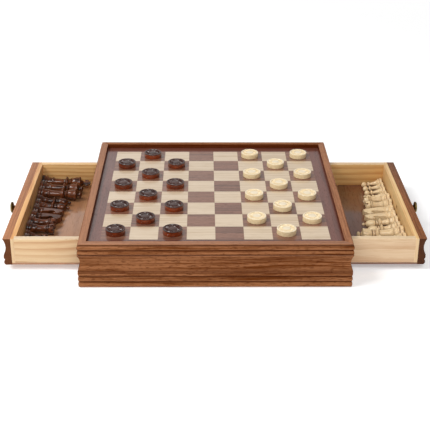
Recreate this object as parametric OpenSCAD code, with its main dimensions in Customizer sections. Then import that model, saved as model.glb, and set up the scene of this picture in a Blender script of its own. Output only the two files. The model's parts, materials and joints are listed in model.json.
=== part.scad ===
// Chess and draughts box: a framed board on a case with a drawer at each end.
// X runs from drawer to drawer, Z is up, and the origin is under the middle of the case.
// Both drawers stand pulled out by drawer_open, with the chessmen lying in them.

/* [Case] */
// Size along X over the mouldings
case_w = 380; // [372:1:480]
// Size along Y over the mouldings
case_d = 380; // [372:1:480]
// Height from the ground to the top of the rim
case_h = 66.6; // [62:0.1:82]
// Width of the flat top of the rim
rim_w = 10.6; // [9:0.1:14]
// Radius of the case's upright corners
corner_r = 4; // [2:0.5:8]
// Height of the top of the bottom panel, on which the drawers run
sill_h = 8.8; // [8:0.1:10]
// Thickness of the bottom panel
bottom_t = 4; // [3:0.1:5]
// How deep the bottom panel and the board are let into the frame
groove_d = 5; // [3:0.1:6]
// Thickness of each of the two rails that guide the drawers
guide_t = 8; // [5:0.5:14]
// Thickness of the divider that stops the drawers
divider_t = 12; // [6:0.5:20]

/* [Board] */
// Side of one square
square_w = 40; // [36:0.5:40]
// How far the playing surface lies below the rim
board_drop = 6.5; // [4:0.1:8]
// Thickness of the board's core
core_t = 8; // [5:0.1:9]
// Thickness of the veneer
veneer_t = 1; // [0.6:0.1:1.5]
// Joint between neighbouring pieces of veneer
veneer_gap = 0.05; // [0.02:0.01:0.1]

/* [Moulding] */
// How far the lower reeds stand out past the edge of the flat rim
reed_out = 2.2; // [1.7:0.1:3]
// How far the top reeds stand back from the lower ones
reed_step = 0.6; // [0:0.1:0.9]
// Height of the band above the drawers, with its two reeds
top_band_h = 16.6; // [15:0.1:20]
// Height of the plain lip above the top reed
lip_h = 1.6; // [1.2:0.1:2.5]
// Height of each of the two reeds under the cove
low_reed_h = 8.1; // [7:0.1:9]
// How far the top of the cove stands out
cove_lip = 1.9; // [1.5:0.1:2.1]
// Depth of the cove below its lip
cove_depth = 3.65; // [2:0.05:4.5]
// Where the grooves between reeds end, from the edge of the flat rim
groove_out = 0.3; // [0:0.1:0.6]

/* [Drawers] */
// How far each drawer is pulled out
drawer_open = 110; // [0:1:150]
// Width of a drawer
drawer_w = 278; // [274:1:340]
// Gap between a drawer and what it runs in
drawer_gap = 0.3; // [0.2:0.05:0.6]
// Thickness of the moulded front, from the edge of the flat rim inwards
front_t = 9.2; // [7:0.1:12]
// Thickness of the inner front
inner_front_t = 6.8; // [5:0.1:9]
// How deep the sides are let into the inner front
rabbet_d = 2.3; // [1.5:0.1:3.5]
// Thickness of the sides
side_t = 9.2; // [7:0.1:12]
// Thickness of the back
back_t = 8; // [6:0.1:12]
// Thickness of the bottom sheet
floor_t = 3; // [2:0.1:4]

/* [Knobs] */
// Radius of the knob's disc
knob_r = 8.4; // [6:0.1:10]
// Thickness of the disc at its rim
knob_rim_t = 2; // [1.2:0.1:3]
// Height of the domed face above the rim
knob_face_h = 1.6; // [1:0.1:2.5]
// Height of the flare behind the rim
knob_flare_h = 2.4; // [1.6:0.1:3.4]
// How far the knob stands out past the edge of the flat rim
knob_out = 15.4; // [13:0.1:18]
// Height of the knob's axis above the ground
knob_z = 33.5; // [28:0.1:40]
// Radius of the knob's foot
knob_foot_r = 4.6; // [3.8:0.1:6]
// Height of the straight part of the foot
knob_foot_h = 2.4; // [1.6:0.1:3]
// Radius of the knob's neck
knob_neck_r = 2.8; // [2.6:0.1:3.6]
// Depth of the flat seat for the foot, below the deepest line of the cove
knob_seat_d = 0.6; // [0.4:0.1:1.2]
// Radius of the screw
screw_r = 1.9; // [1.5:0.1:2.2]
// Radius of the screw's head
screw_head_r = 3.8; // [3:0.1:4.5]
// How far the screw reaches into the knob
screw_grip = 7; // [4:0.5:8]
// Clearance round the screw in the wood
screw_gap = 0.25; // [0.1:0.05:0.4]
// Clearance round the screw in the knob
thread_gap = 0.05; // [0.02:0.01:0.1]

/* [Draughtsmen] */
// Radius of a draughtsman
man_r = 13.9; // [12:0.1:15.5]
// Thickness of a draughtsman
man_t = 7.6; // [6:0.1:9]
// Rounding of its edges
man_round = 1.2; // [0.6:0.1:2]
// Width of the flat rim of its faces
man_rim_w = 2.6; // [2.2:0.1:3]
// Depth of the rings in its upper face
man_ring_d = 0.6; // [0.4:0.1:0.8]
// Width of each ring at its floor
man_ring_w = 0.9; // [0.4:0.1:1]
// Width of the land between the rings
man_land_w = 1.2; // [0.8:0.1:1.5]

/* [Chessmen] */
// Height of the king
king_h = 78; // [70:0.5:80]
// Radius of the king's base
king_r = 11.5; // [11:0.1:12.8]
// Height of the queen
queen_h = 69; // [60:0.5:72]
// Radius of the queen's base
queen_r = 11.3; // [10:0.1:11.5]
// Height of the bishop
bishop_h = 54; // [48:0.5:60]
// Radius of the bishop's base
bishop_r = 9.7; // [9:0.1:10.5]
// Height of the knight
knight_h = 46; // [42:0.5:52]
// Radius of the knight's base
knight_r = 9.8; // [9:0.1:10.2]
// Height of the rook
rook_h = 39.5; // [36:0.5:44]
// Radius of the rook's base
rook_r = 10; // [9:0.1:10.4]
// Height of the pawn
pawn_h = 33.5; // [30:0.5:38]
// Radius of the pawn's base
pawn_r = 8.2; // [7:0.05:8.4]
// Gap between neighbouring chessmen
men_gap = 0.3; // [0.2:0.05:0.6]
// Gap between the light row's bases and the drawer's front
light_row_gap = 1.6; // [0.3:0.1:3]
// Gap under loose pieces
rest_gap = 0.1; // [0.05:0.05:0.2]

/* [Hidden] */
$fn = 48;
squares = 8;
cut = 1;

// The rim's outer edge, and the frame's inner faces
edge_x = case_w / 2 - reed_out;
edge_y = case_d / 2 - reed_out;
in_x = edge_x - rim_w;
in_y = edge_y - rim_w;
mitre = rim_w + reed_out + cut;

// Heights of the board and of the drawers
board_z = case_h - board_drop;
core_z = board_z - veneer_t - core_t;
drawer_z0 = sill_h + drawer_gap;
drawer_z1 = case_h - top_band_h;
floor_z = drawer_z0 + floor_t;

// Heights of the moulding's members
low_reed_z1 = drawer_z0 + 2 * low_reed_h;
reed_top = case_h - lip_h;
top_reed_h = (reed_top - drawer_z1) / 2;
cove_half = (drawer_z1 - low_reed_z1) / 2;
cove_z = (drawer_z1 + low_reed_z1) / 2;
cove_r = (cove_half * cove_half + cove_depth * cove_depth) / (2 * cove_depth);
cove_floor = cove_lip - cove_depth;
reed_swell = 0.15;
lip_round = 1;
quirk_r = 0.5;

// The board
half_board = squares * square_w / 2;
border_z = board_z - veneer_t;

// A drawer in its own frame: X outwards, 0 at the edge of the flat rim
inner_x = -front_t - inner_front_t;
back_x = divider_t / 2 + drawer_gap - edge_x;
side_y = drawer_w / 2 - side_t;
window_y = drawer_w / 2 + drawer_gap;
window_z1 = drawer_z1 + drawer_gap;
seat_x = cove_floor - knob_seat_d;
screw_tip = seat_x + screw_grip;
screw_head_d = screw_head_r - screw_r;

// The kinds of chessmen, and the row of them in a drawer, from the king's end
KING = 0;
QUEEN = 1;
BISHOP = 2;
KNIGHT = 3;
ROOK = 4;
PAWN = 5;
ROW = [KING, QUEEN, QUEEN, BISHOP, BISHOP, KNIGHT, KNIGHT, ROOK, ROOK, PAWN, PAWN, PAWN, PAWN];
BASE_R = [king_r, queen_r, bishop_r, knight_r, rook_r, pawn_r];
HEIGHT = [king_h, queen_h, bishop_h, knight_h, rook_h, pawn_h];
// The point of each kind's head that lies on the floor: its height, and its radius as a share of the base's
HEAD_AT = [0.8, 0.87, 0.74, 1, 1, 0.86];
HEAD_R = [0.86, 0.82, 0.62, 0.48, 0.8, 0.56];
// Thickness of every base at its widest, as a share of its radius
base_rim = 0.22;
row_start = [men_gap, 2 * side_y - row_end(len(ROW)) - men_gap];
inner_pawn_y = 60;
inner_pawns = 4;

// The columns of squares that each colour's draughtsmen stand on
men_cols = 3;

WALNUT = "#8e5d45";
PINE = "#e4c498";
MAPLE = "#e1d0b2";
BRASS = "#85703f";
EBONISED = "#4a2a1d";
BOXWOOD = "#e2d2ac";

// ---- Moulding ----

// One reed of the moulding: a half round that spans z0 to z1 and reaches out
module reed(z0, z1, out) {
    r = (z1 - z0) / 2 + reed_swell;
    translate([out - r, (z0 + z1) / 2])
        circle(r = r);
}

// The moulding's section: X is 0 at the outer edge of the flat rim, Y is the height
module moulding_section() {
    difference() {
        union() {
            translate([-rim_w, 0])
                square([rim_w - 2 * lip_round, case_h]);
            translate([-3 * lip_round, drawer_z0 / 2])
                square([3 * lip_round, case_h - lip_round - drawer_z0 / 2]);
            translate([-lip_round, case_h - lip_round])
                circle(r = lip_round);
            translate([-3 * lip_round, case_h - lip_round])
                square([2 * lip_round, lip_round]);
            translate([-lip_round, drawer_z0 / 2])
                square([lip_round + groove_out, reed_top - drawer_z0 / 2]);
            translate([-lip_round, low_reed_z1 - low_reed_h / 2])
                square([lip_round + cove_lip, drawer_z1 - low_reed_z1 + low_reed_h / 2]);
            reed(0, drawer_z0, reed_out);
            reed(drawer_z0, drawer_z0 + low_reed_h, reed_out);
            reed(drawer_z0 + low_reed_h, low_reed_z1, reed_out);
            reed(drawer_z1, drawer_z1 + top_reed_h, reed_out - reed_step);
            reed(drawer_z1 + top_reed_h, reed_top, reed_out - reed_step);
        }
        translate([cove_floor + cove_r, cove_z])
            circle(r = cove_r, $fn = 96);
        translate([groove_out, reed_top])
            circle(r = quirk_r, $fn = 24);
        translate([-rim_w - cut, -case_h])
            square([2 * rim_w, case_h]);
    }
}

// A straight length of moulding along Y, standing at the right edge of the case
module moulding_bar(length) {
    rotate([90, 0, 0])
        linear_extrude(height = length, center = true)
            moulding_section();
}

// The plan of a rectangle with round corners
module rounded_plan(w, d, r) {
    square([w - 2 * r, d], center = true);
    square([w, d - 2 * r], center = true);
    for (x = [-1, 1])
        for (y = [-1, 1])
            translate([x * (w / 2 - r), y * (d / 2 - r)])
                circle(r = r);
}

// One mitred side of the frame at the +X edge of a w by d case, grooved for panel and board
module frame_side(w, d) {
    difference() {
        intersection() {
            translate([w / 2 - reed_out, 0, 0])
                moulding_bar(d);
            linear_extrude(height = case_h)
                rounded_plan(w, d, corner_r);
            linear_extrude(height = case_h)
                polygon([
                    [w / 2, -d / 2], [w / 2, d / 2],
                    [w / 2 - mitre, d / 2 - mitre], [w / 2 - mitre, -d / 2 + mitre]
                ]);
        }
        panel_slab(w, d, sill_h - bottom_t, bottom_t);
        panel_slab(w, d, core_z, core_t);
    }
}

// A panel let into the frame of a w by d case
module panel_slab(w, d, z, t) {
    side = 2 * (groove_d - reed_out - rim_w);
    translate([-(w + side) / 2, -(d + side) / 2, z])
        cube([w + side, d + side, t]);
}

// The frame side at the right of the case, with its drawer window
module window_side() {
    difference() {
        frame_side(case_w, case_d);
        translate([0, -window_y, sill_h])
            cube([case_w, 2 * window_y, window_z1 - sill_h]);
    }
}

module front_moulding() {
    color(WALNUT)
        rotate([0, 0, -90])
            frame_side(case_d, case_w);
}

module back_moulding() {
    color(WALNUT)
        rotate([0, 0, 90])
            frame_side(case_d, case_w);
}

module left_moulding() {
    color(WALNUT)
        rotate([0, 0, 180])
            window_side();
}

module right_moulding() {
    color(WALNUT)
        window_side();
}

// ---- Inside of the case ----

module bottom_panel() {
    color(PINE)
        panel_slab(case_w, case_d, sill_h - bottom_t, bottom_t);
}

module board_core() {
    color(PINE)
        panel_slab(case_w, case_d, core_z, core_t);
}

// A rail along X on the outer side of both drawers; y is -1 at the front and 1 at the back
module guide(y) {
    color(PINE)
        translate([-in_x, y > 0 ? window_y : -window_y - guide_t, sill_h])
            cube([2 * in_x, guide_t, core_z - sill_h]);
}

module front_guide() {
    guide(-1);
}

module back_guide() {
    guide(1);
}

module centre_divider() {
    color(PINE)
        translate([-divider_t / 2, -window_y, sill_h])
            cube([divider_t, 2 * window_y, core_z - sill_h]);
}

// ---- Playing surface ----

// One mitred strip of the border at the +X edge of a w by d surface
module border_strip(w, d) {
    translate([0, 0, border_z])
        linear_extrude(height = veneer_t)
            polygon([
                [w / 2, -d / 2 + veneer_gap], [w / 2, d / 2 - veneer_gap],
                [half_board + veneer_gap, half_board], [half_board + veneer_gap, -half_board]
            ]);
}

module left_border() {
    color(WALNUT)
        rotate([0, 0, 180])
            border_strip(2 * in_x, 2 * in_y);
}

module right_border() {
    color(WALNUT)
        border_strip(2 * in_x, 2 * in_y);
}

module front_border() {
    color(WALNUT)
        rotate([0, 0, -90])
            border_strip(2 * in_y, 2 * in_x);
}

module back_border() {
    color(WALNUT)
        rotate([0, 0, 90])
            border_strip(2 * in_y, 2 * in_x);
}

// The veneer squares of one colour; parity is 0 for the dark and 1 for the light ones
module square_field(parity) {
    side = square_w - veneer_gap;
    for (col = [0:squares - 1])
        for (row = [0:squares - 1])
            if ((col + row) % 2 == parity)
                translate([col * square_w - half_board, row * square_w - half_board, border_z])
                    translate([veneer_gap / 2, veneer_gap / 2, 0])
                        cube([side, side, veneer_t]);
}

module dark_squares() {
    color(WALNUT)
        square_field(0);
}

module light_squares() {
    color(MAPLE)
        square_field(1);
}

// ---- Drawers ----

// Puts a drawer's own frame at the right (side 1) or the left (side -1) of the case
module at_drawer(side) {
    rotate([0, 0, side > 0 ? 0 : 180])
        translate([edge_x + drawer_open, 0, 0])
            children();
}

// The screw's way through both fronts
module knob_hole() {
    translate([inner_x - cut, 0, knob_z])
        rotate([0, 90, 0])
            cylinder(r = screw_r + screw_gap, h = cut - inner_x + reed_out);
}

module drawer_front(side) {
    color(WALNUT)
        at_drawer(side)
            difference() {
                intersection() {
                    moulding_bar(drawer_w);
                    translate([-front_t, -drawer_w / 2, drawer_z0])
                        cube([front_t + reed_out, drawer_w, drawer_z1 - drawer_z0]);
                }
                knob_hole();
                translate([seat_x, 0, knob_z])
                    rotate([0, 90, 0])
                        cylinder(r = knob_foot_r + screw_gap, h = reed_out - seat_x + cut);
            }
}

module drawer_inner_front(side) {
    color(PINE)
        at_drawer(side)
            difference() {
                translate([inner_x, -drawer_w / 2, floor_z])
                    cube([inner_front_t, drawer_w, drawer_z1 - floor_z]);
                for (y = [-drawer_w / 2 - cut, side_y])
                    translate([inner_x - cut, y, floor_z - cut])
                        cube([rabbet_d + cut, side_t + cut, drawer_z1]);
                knob_hole();
                translate([inner_x, 0, knob_z])
                    rotate([0, 90, 0])
                        cylinder(
                            r1 = screw_head_r + screw_gap, r2 = screw_r + screw_gap,
                            h = screw_head_d
                        );
            }
}

// A side of a drawer; y is -1 for the side at the front of the case and 1 for the one at the back
module drawer_side(side, y) {
    color(PINE)
        at_drawer(side)
            translate([back_x, y * side > 0 ? side_y : -drawer_w / 2, floor_z])
                cube([inner_x + rabbet_d - back_x, side_t, drawer_z1 - floor_z]);
}

module drawer_back(side) {
    color(PINE)
        at_drawer(side)
            translate([back_x, -side_y, floor_z])
                cube([back_t, 2 * side_y, drawer_z1 - floor_z]);
}

module drawer_floor(side) {
    color(WALNUT)
        at_drawer(side)
            translate([back_x, -drawer_w / 2, drawer_z0])
                cube([-front_t - back_x, drawer_w, floor_t]);
}

// A turned knob with a blind hole for its screw
module knob(side) {
    top = knob_out - seat_x;
    rim_z1 = top - knob_face_h;
    rim_z0 = rim_z1 - knob_rim_t;
    bore_r = screw_r + thread_gap;
    bore_d = screw_grip + cut;
    color(BRASS)
        at_drawer(side)
            translate([seat_x, 0, knob_z])
                rotate([0, 90, 0])
                    rotate_extrude()
                        polygon([
                            [bore_r, 0], [knob_foot_r, 0], [knob_foot_r, knob_foot_h],
                            [knob_neck_r, 2 * knob_foot_h], [knob_neck_r, rim_z0 - knob_flare_h],
                            [0.72 * knob_r, rim_z0 - 0.4 * knob_flare_h], [knob_r, rim_z0],
                            [knob_r, rim_z1], [0.9 * knob_r, rim_z1 + 0.6 * knob_face_h],
                            [0.5 * knob_r, top], [0, top], [0, bore_d], [bore_r, bore_d]
                        ]);
}

module knob_screw(side) {
    color(BRASS)
        at_drawer(side)
            translate([inner_x, 0, knob_z])
                rotate([0, 90, 0]) {
                    cylinder(r1 = screw_head_r, r2 = screw_r, h = screw_head_d);
                    cylinder(r = screw_r, h = screw_tip - inner_x);
                }
}

// ---- Draughtsmen ----

// A ring cut in the upper face, inwards from radius r; its sides slope at 45 degrees
function ring_outline(r) = [
    [r, man_t], [r - man_ring_d, man_t - man_ring_d],
    [r - man_ring_d - man_ring_w, man_t - man_ring_d], [r - 2 * man_ring_d - man_ring_w, man_t]
];

// The disc's rounded edge from the face at height z outwards; up is 1 at its foot and -1 at its top
function edge_outline(z, up) = [
    [man_r - man_round, z], [man_r - 0.3 * man_round, z + up * 0.3 * man_round],
    [man_r, z + up * man_round]
];

// A turned disc with two rings cut in its upper face and a hollow foot
module draughtsman() {
    ring_r = man_r - man_rim_w;
    land_r = ring_r - 2 * man_ring_d - man_ring_w;
    rotate_extrude()
        difference() {
            polygon(concat(
                [[0, 0]], edge_outline(0, 1), [for (n = [2:-1:0]) edge_outline(man_t, -1)[n]],
                ring_outline(ring_r), ring_outline(land_r - man_land_w), [[0, man_t]]
            ));
            translate([-cut, -cut])
                square([ring_r + cut, cut + man_ring_d]);
        }
}

// The draughtsmen of one colour, on the dark squares of three columns from first_col on
module men_on_board(first_col) {
    for (col = [first_col:first_col + men_cols - 1])
        for (row = [0:squares - 1])
            if ((col + row) % 2 == 0)
                translate([
                    (col + 0.5) * square_w - half_board, (row + 0.5) * square_w - half_board,
                    board_z + rest_gap
                ])
                    draughtsman();
}

module dark_draughtsmen() {
    color(EBONISED)
        men_on_board(0);
}

module light_draughtsmen() {
    color(BOXWOOD)
        men_on_board(squares - men_cols);
}

// ---- Chessmen ----

// The outline of a ball of radius b at height z, from the angle low up to its top
function ball(b, z, low = -60) = [for (a = [low:15:90]) [b * cos(a), z + b * sin(a)]];

// The turned base that every chessman has
function base_outline(r) = [
    [0, 0], [r, 0], [r, base_rim * r], [0.94 * r, 0.36 * r], [0.84 * r, 0.42 * r],
    [0.84 * r, 0.56 * r], [0.9 * r, 0.62 * r], [0.88 * r, 0.76 * r], [0.72 * r, 0.92 * r]
];

function pawn_outline(r, h) = concat(
    base_outline(r),
    [[0.34 * r, 0.57 * h], [0.5 * r, 0.61 * h], [0.5 * r, 0.69 * h], [0.3 * r, 0.73 * h]],
    ball(0.56 * r, h - 0.56 * r)
);

function rook_outline(r, h) = concat(
    base_outline(r),
    [
        [0.66 * r, 0.36 * h], [0.48 * r, 0.42 * h], [0.46 * r, 0.62 * h], [0.62 * r, 0.7 * h],
        [0.72 * r, 0.76 * h], [0.72 * r, 0.8 * h], [0.78 * r, 0.84 * h], [0.8 * r, h], [0, h]
    ]
);

function knight_outline(r, h) = concat(
    base_outline(r),
    [[0.6 * r, 0.24 * h], [0.62 * r, 0.28 * h], [0.58 * r, 0.32 * h], [0, 0.32 * h]]
);

function bishop_outline(r, h) = concat(
    base_outline(r),
    [
        [0.6 * r, 0.27 * h], [0.42 * r, 0.32 * h], [0.4 * r, 0.44 * h], [0.72 * r, 0.48 * h],
        [0.72 * r, 0.51 * h], [0.42 * r, 0.55 * h], [0.5 * r, 0.64 * h], [0.62 * r, 0.74 * h],
        [0.5 * r, 0.83 * h], [0.24 * r, 0.9 * h]
    ],
    ball(0.2 * r, h - 0.2 * r, -45)
);

function queen_outline(r, h) = concat(
    base_outline(r),
    [
        [0.7 * r, 0.24 * h], [0.56 * r, 0.28 * h], [0.5 * r, 0.5 * h], [0.82 * r, 0.535 * h],
        [0.82 * r, 0.57 * h], [0.5 * r, 0.6 * h], [0.62 * r, 0.645 * h], [0.74 * r, 0.81 * h],
        [0.82 * r, 0.83 * h], [0.82 * r, 0.87 * h], [0.4 * r, 0.89 * h], [0.2 * r, 0.91 * h]
    ],
    ball(0.3 * r, h - 0.3 * r, -45)
);

function king_outline(r, h) = concat(
    base_outline(r),
    [
        [0.7 * r, 0.23 * h], [0.56 * r, 0.27 * h], [0.52 * r, 0.46 * h], [0.86 * r, 0.495 * h],
        [0.86 * r, 0.53 * h], [0.5 * r, 0.56 * h], [0.66 * r, 0.6 * h], [0.8 * r, 0.75 * h],
        [0.86 * r, 0.765 * h], [0.86 * r, 0.8 * h], [0.5 * r, 0.83 * h], [0.3 * r, 0.86 * h],
        [0, 0.86 * h]
    ]
);

module rook(r, h) {
    cup_z = 0.86 * h;
    cup_r = 0.5 * r;
    notch_z = 0.91 * h;
    notch_w = 0.24 * r;
    difference() {
        rotate_extrude()
            polygon(rook_outline(r, h));
        translate([0, 0, cup_z])
            cylinder(r = cup_r, h = h);
        for (a = [0, 60, 120])
            rotate([0, 0, a])
                translate([-r, -notch_w / 2, notch_z])
                    cube([2 * r, notch_w, h]);
    }
}

// The horse's head in outline, in shares of the base's radius: X towards the muzzle, Y up to HORSE_H
HORSE_H = 3;
HORSE = [
    [-0.62, 0], [-0.72, 0.5], [-0.74, 1.1], [-0.62, 1.8], [-0.36, 2.35], [-0.12, 2.62],
    [-0.06, 3.0], [0.1, 2.66], [0.36, 2.5], [0.62, 2.1], [0.92, 1.62], [0.9, 1.3],
    [0.66, 1.16], [0.4, 1.34], [0.14, 1.28], [0.34, 0.86], [0.56, 0.42], [0.6, 0]
];

module knight(r, h) {
    foot_h = 0.3 * h;
    scale_h = (h - foot_h) / HORSE_H;
    rotate_extrude()
        polygon(knight_outline(r, h));
    translate([0, 0, foot_h])
        rotate([90, 0, 0])
            linear_extrude(height = 2 * HEAD_R[KNIGHT] * r, center = true)
                polygon([for (p = HORSE) [p[0] * r, p[1] * scale_h]]);
}

module king(r, h) {
    cross_z = 0.85 * h;
    arm_z = 0.91 * h;
    arm_h = 0.045 * h;
    arm_w = 0.76 * r;
    bar = 0.3 * r;
    rotate_extrude()
        polygon(king_outline(r, h));
    translate([-bar / 2, -bar / 2, cross_z])
        cube([bar, bar, h - cross_z]);
    translate([-arm_w / 2, -bar / 2, arm_z])
        cube([arm_w, bar, arm_h]);
}

module chessman(kind) {
    r = BASE_R[kind];
    h = HEIGHT[kind];
    if (kind == KING) king(r, h);
    if (kind == QUEEN) rotate_extrude() polygon(queen_outline(r, h));
    if (kind == BISHOP) rotate_extrude() polygon(bishop_outline(r, h));
    if (kind == KNIGHT) knight(r, h);
    if (kind == ROOK) rook(r, h);
    if (kind == PAWN) rotate_extrude() polygon(pawn_outline(r, h));
}

// How far a chessman's axis dips towards its head when it lies on its base's rim and its head
function dip(kind) =
    let (r = BASE_R[kind], h = HEIGHT[kind])
    atan(r * (1 - HEAD_R[kind]) / (h * HEAD_AT[kind] - base_rim * r));

// Lays a chessman down, its base at X 0 and its head towards -X, resting on Z 0;
// turn is 90 or -90, and a knight's muzzle then points to +Y or -Y
module lying(kind, turn = 90) {
    a = dip(kind);
    r = BASE_R[kind];
    translate([-r * sin(a), 0, r * (cos(a) + base_rim * sin(a))])
        rotate([0, -90 - a, 0])
            rotate([0, 0, turn])
                chessman(kind);
}

// The distance from the row's start to the far side of its n-th piece
function row_end(n) = n == 0 ? 0 : row_end(n - 1) + 2 * BASE_R[ROW[n - 1]] + men_gap;

// All chessmen of one kind in the row of a drawer
module row_of(side, kind) {
    start = row_start[side > 0 ? 1 : 0];
    gap = side > 0 ? light_row_gap : men_gap;
    at_drawer(side)
        for (n = [0:len(ROW) - 1])
            if (ROW[n] == kind)
                translate([
                    inner_x - gap, start - side_y + row_end(n) + BASE_R[kind],
                    floor_z + rest_gap
                ])
                    lying(kind, side > 0 ? -90 : 90);
}

// The other pawns, which lie against the back of a drawer, under the board
module pawns_at_back(side) {
    pitch = 2 * pawn_r + men_gap;
    at_drawer(side)
        for (n = [0:inner_pawns - 1])
            translate([back_x + back_t + men_gap, inner_pawn_y - n * pitch, floor_z + rest_gap])
                rotate([0, 0, 180])
                    lying(PAWN);
}

front_moulding();
back_moulding();
left_moulding();
right_moulding();
bottom_panel();
front_guide();
back_guide();
centre_divider();
board_core();
front_border();
back_border();
left_border();
right_border();
dark_squares();
light_squares();

drawer_front(-1);  // left_drawer_front
drawer_inner_front(-1);  // left_drawer_inner_front
drawer_side(-1, -1);  // left_drawer_near_side
drawer_side(-1, 1);  // left_drawer_far_side
drawer_back(-1);  // left_drawer_back
drawer_floor(-1);  // left_drawer_floor
knob(-1);  // left_knob
knob_screw(-1);  // left_knob_screw
drawer_front(1);  // right_drawer_front
drawer_inner_front(1);  // right_drawer_inner_front
drawer_side(1, -1);  // right_drawer_near_side
drawer_side(1, 1);  // right_drawer_far_side
drawer_back(1);  // right_drawer_back
drawer_floor(1);  // right_drawer_floor
knob(1);  // right_knob
knob_screw(1);  // right_knob_screw

dark_draughtsmen();
light_draughtsmen();

color(EBONISED) row_of(-1, KING);  // dark_king
color(EBONISED) row_of(-1, QUEEN);  // dark_queens
color(EBONISED) row_of(-1, BISHOP);  // dark_bishops
color(EBONISED) row_of(-1, KNIGHT);  // dark_knights
color(EBONISED) row_of(-1, ROOK);  // dark_rooks
color(EBONISED) row_of(-1, PAWN);  // dark_pawns
color(EBONISED) pawns_at_back(-1);  // dark_inner_pawns
color(BOXWOOD) row_of(1, KING);  // light_king
color(BOXWOOD) row_of(1, QUEEN);  // light_queens
color(BOXWOOD) row_of(1, BISHOP);  // light_bishops
color(BOXWOOD) row_of(1, KNIGHT);  // light_knights
color(BOXWOOD) row_of(1, ROOK);  // light_rooks
color(BOXWOOD) row_of(1, PAWN);  // light_pawns
color(BOXWOOD) pawns_at_back(1);  // light_inner_pawns
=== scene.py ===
# %% [markdown]
# # A chess and draughts box, from bare solids to finished wood
#
# The box is a moulded walnut frame round a chequered board, with a drawer at each end. Its construction is
# already done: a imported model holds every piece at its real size, in metres, with X from drawer to drawer
# and Z up. This notebook adds what construction leaves out: eased edges, turned and carved men, grain,
# lacquer, brass and light. Each step says what the piece is on the real object, how it could be made, and
# why it is made this way here.

import json
import math
from types import SimpleNamespace

import bmesh
import bpy
from mathutils import Matrix, Vector

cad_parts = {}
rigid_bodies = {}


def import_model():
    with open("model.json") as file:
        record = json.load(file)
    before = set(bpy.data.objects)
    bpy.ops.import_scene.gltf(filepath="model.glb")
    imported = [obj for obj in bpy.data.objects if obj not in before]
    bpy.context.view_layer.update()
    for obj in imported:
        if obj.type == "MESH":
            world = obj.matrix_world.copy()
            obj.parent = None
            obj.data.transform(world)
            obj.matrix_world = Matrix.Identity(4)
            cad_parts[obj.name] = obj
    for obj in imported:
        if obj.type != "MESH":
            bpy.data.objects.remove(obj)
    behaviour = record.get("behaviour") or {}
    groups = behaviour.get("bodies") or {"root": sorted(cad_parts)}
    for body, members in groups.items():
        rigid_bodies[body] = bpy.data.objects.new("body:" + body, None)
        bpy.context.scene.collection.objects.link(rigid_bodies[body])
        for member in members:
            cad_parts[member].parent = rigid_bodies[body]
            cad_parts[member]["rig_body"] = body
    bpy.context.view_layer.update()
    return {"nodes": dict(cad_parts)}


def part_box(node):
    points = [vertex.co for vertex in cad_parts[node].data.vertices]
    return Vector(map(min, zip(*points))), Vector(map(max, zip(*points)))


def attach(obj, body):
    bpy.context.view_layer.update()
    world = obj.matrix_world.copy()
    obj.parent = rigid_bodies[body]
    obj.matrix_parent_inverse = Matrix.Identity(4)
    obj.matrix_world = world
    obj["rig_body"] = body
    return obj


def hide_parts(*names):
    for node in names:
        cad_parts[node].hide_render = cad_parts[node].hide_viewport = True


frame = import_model()
MM = 0.001

# %% [markdown]
# ## Looking at it
#
# A long lens from well back keeps the box's sides nearly parallel, as in a shop's picture of such a set.
# The camera could be turned about X, Y and Z, but how those turns add up is hard to picture. So it is aimed
# as a camera on a tripod is: turned to one side, tilted down, and rolled a little about its own axis.

# %% The camera
CAMERA_PLACE = Vector((-17.6, -1382.4, 691.3)) * MM
CAMERA_TILT = math.radians(25.896)
CAMERA_TURN = math.radians(0.783)
CAMERA_ROLL = math.radians(0.306)
LENS_MM = 83.12
SENSOR_MM = 36


def put(name, data):
    """A new object in the scene."""
    thing = bpy.data.objects.new(name, data)
    bpy.context.scene.collection.objects.link(thing)
    return thing


def camera_axes(tilt, turn, roll):
    """The camera's right, up and backward directions."""
    ahead = Vector((math.sin(turn) * math.cos(tilt), math.cos(turn) * math.cos(tilt), -math.sin(tilt)))
    level = Vector((math.cos(turn), -math.sin(turn), 0))
    above = level.cross(ahead)
    right = level * math.cos(roll) + above * math.sin(roll)
    return right, above * math.cos(roll) - level * math.sin(roll), -ahead


camera_data = bpy.data.cameras.new("camera")
camera_data.lens = LENS_MM
camera_data.sensor_width = SENSOR_MM
camera_data.clip_start = 0.05
camera_data.clip_end = 50
camera = put("camera", camera_data)
turned = Matrix(camera_axes(CAMERA_TILT, CAMERA_TURN, CAMERA_ROLL)).transposed()
camera.matrix_world = Matrix.Translation(CAMERA_PLACE) @ turned.to_4x4()
bpy.context.scene.camera = camera
print("the camera stands", round(CAMERA_PLACE.length, 2), "m from the box")

# %% [markdown]
# ## Tools for building node trees
#
# A node tree takes many lines when every node is placed by hand. One small helper adds a node, sets it and
# wires it, and the others are short names for the sums, vectors and noises that come back all the time, so
# that a material below reads like a recipe.


# %% Helpers for nodes
def add(tree, kind, inputs=None, **settings):
    """Adds a node with its settings, and fills its inputs with plain values or with links."""
    node = tree.nodes.new(kind)
    for name, value in settings.items():
        setattr(node, name, value)
    for name, value in (inputs or {}).items():
        if isinstance(value, bpy.types.NodeSocket):
            tree.links.new(value, node.inputs[name])
        else:
            node.inputs[name].default_value = value
    return node


def result(tree, kind, inputs=None, out=0, **settings):
    """One output of a new node."""
    return add(tree, kind, inputs, **settings).outputs[out]


def calc(tree, operation, *values):
    """One Math node's result."""
    return result(tree, "ShaderNodeMath", dict(enumerate(values)), operation=operation)


def vector_calc(tree, operation, *values, out=0):
    """One Vector Math node's result."""
    return result(tree, "ShaderNodeVectorMath", dict(enumerate(values)), out, operation=operation)


def scaled(tree, place, size):
    """A vector times a number."""
    return result(tree, "ShaderNodeVectorMath", {0: place, "Scale": size}, operation="SCALE")


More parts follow.
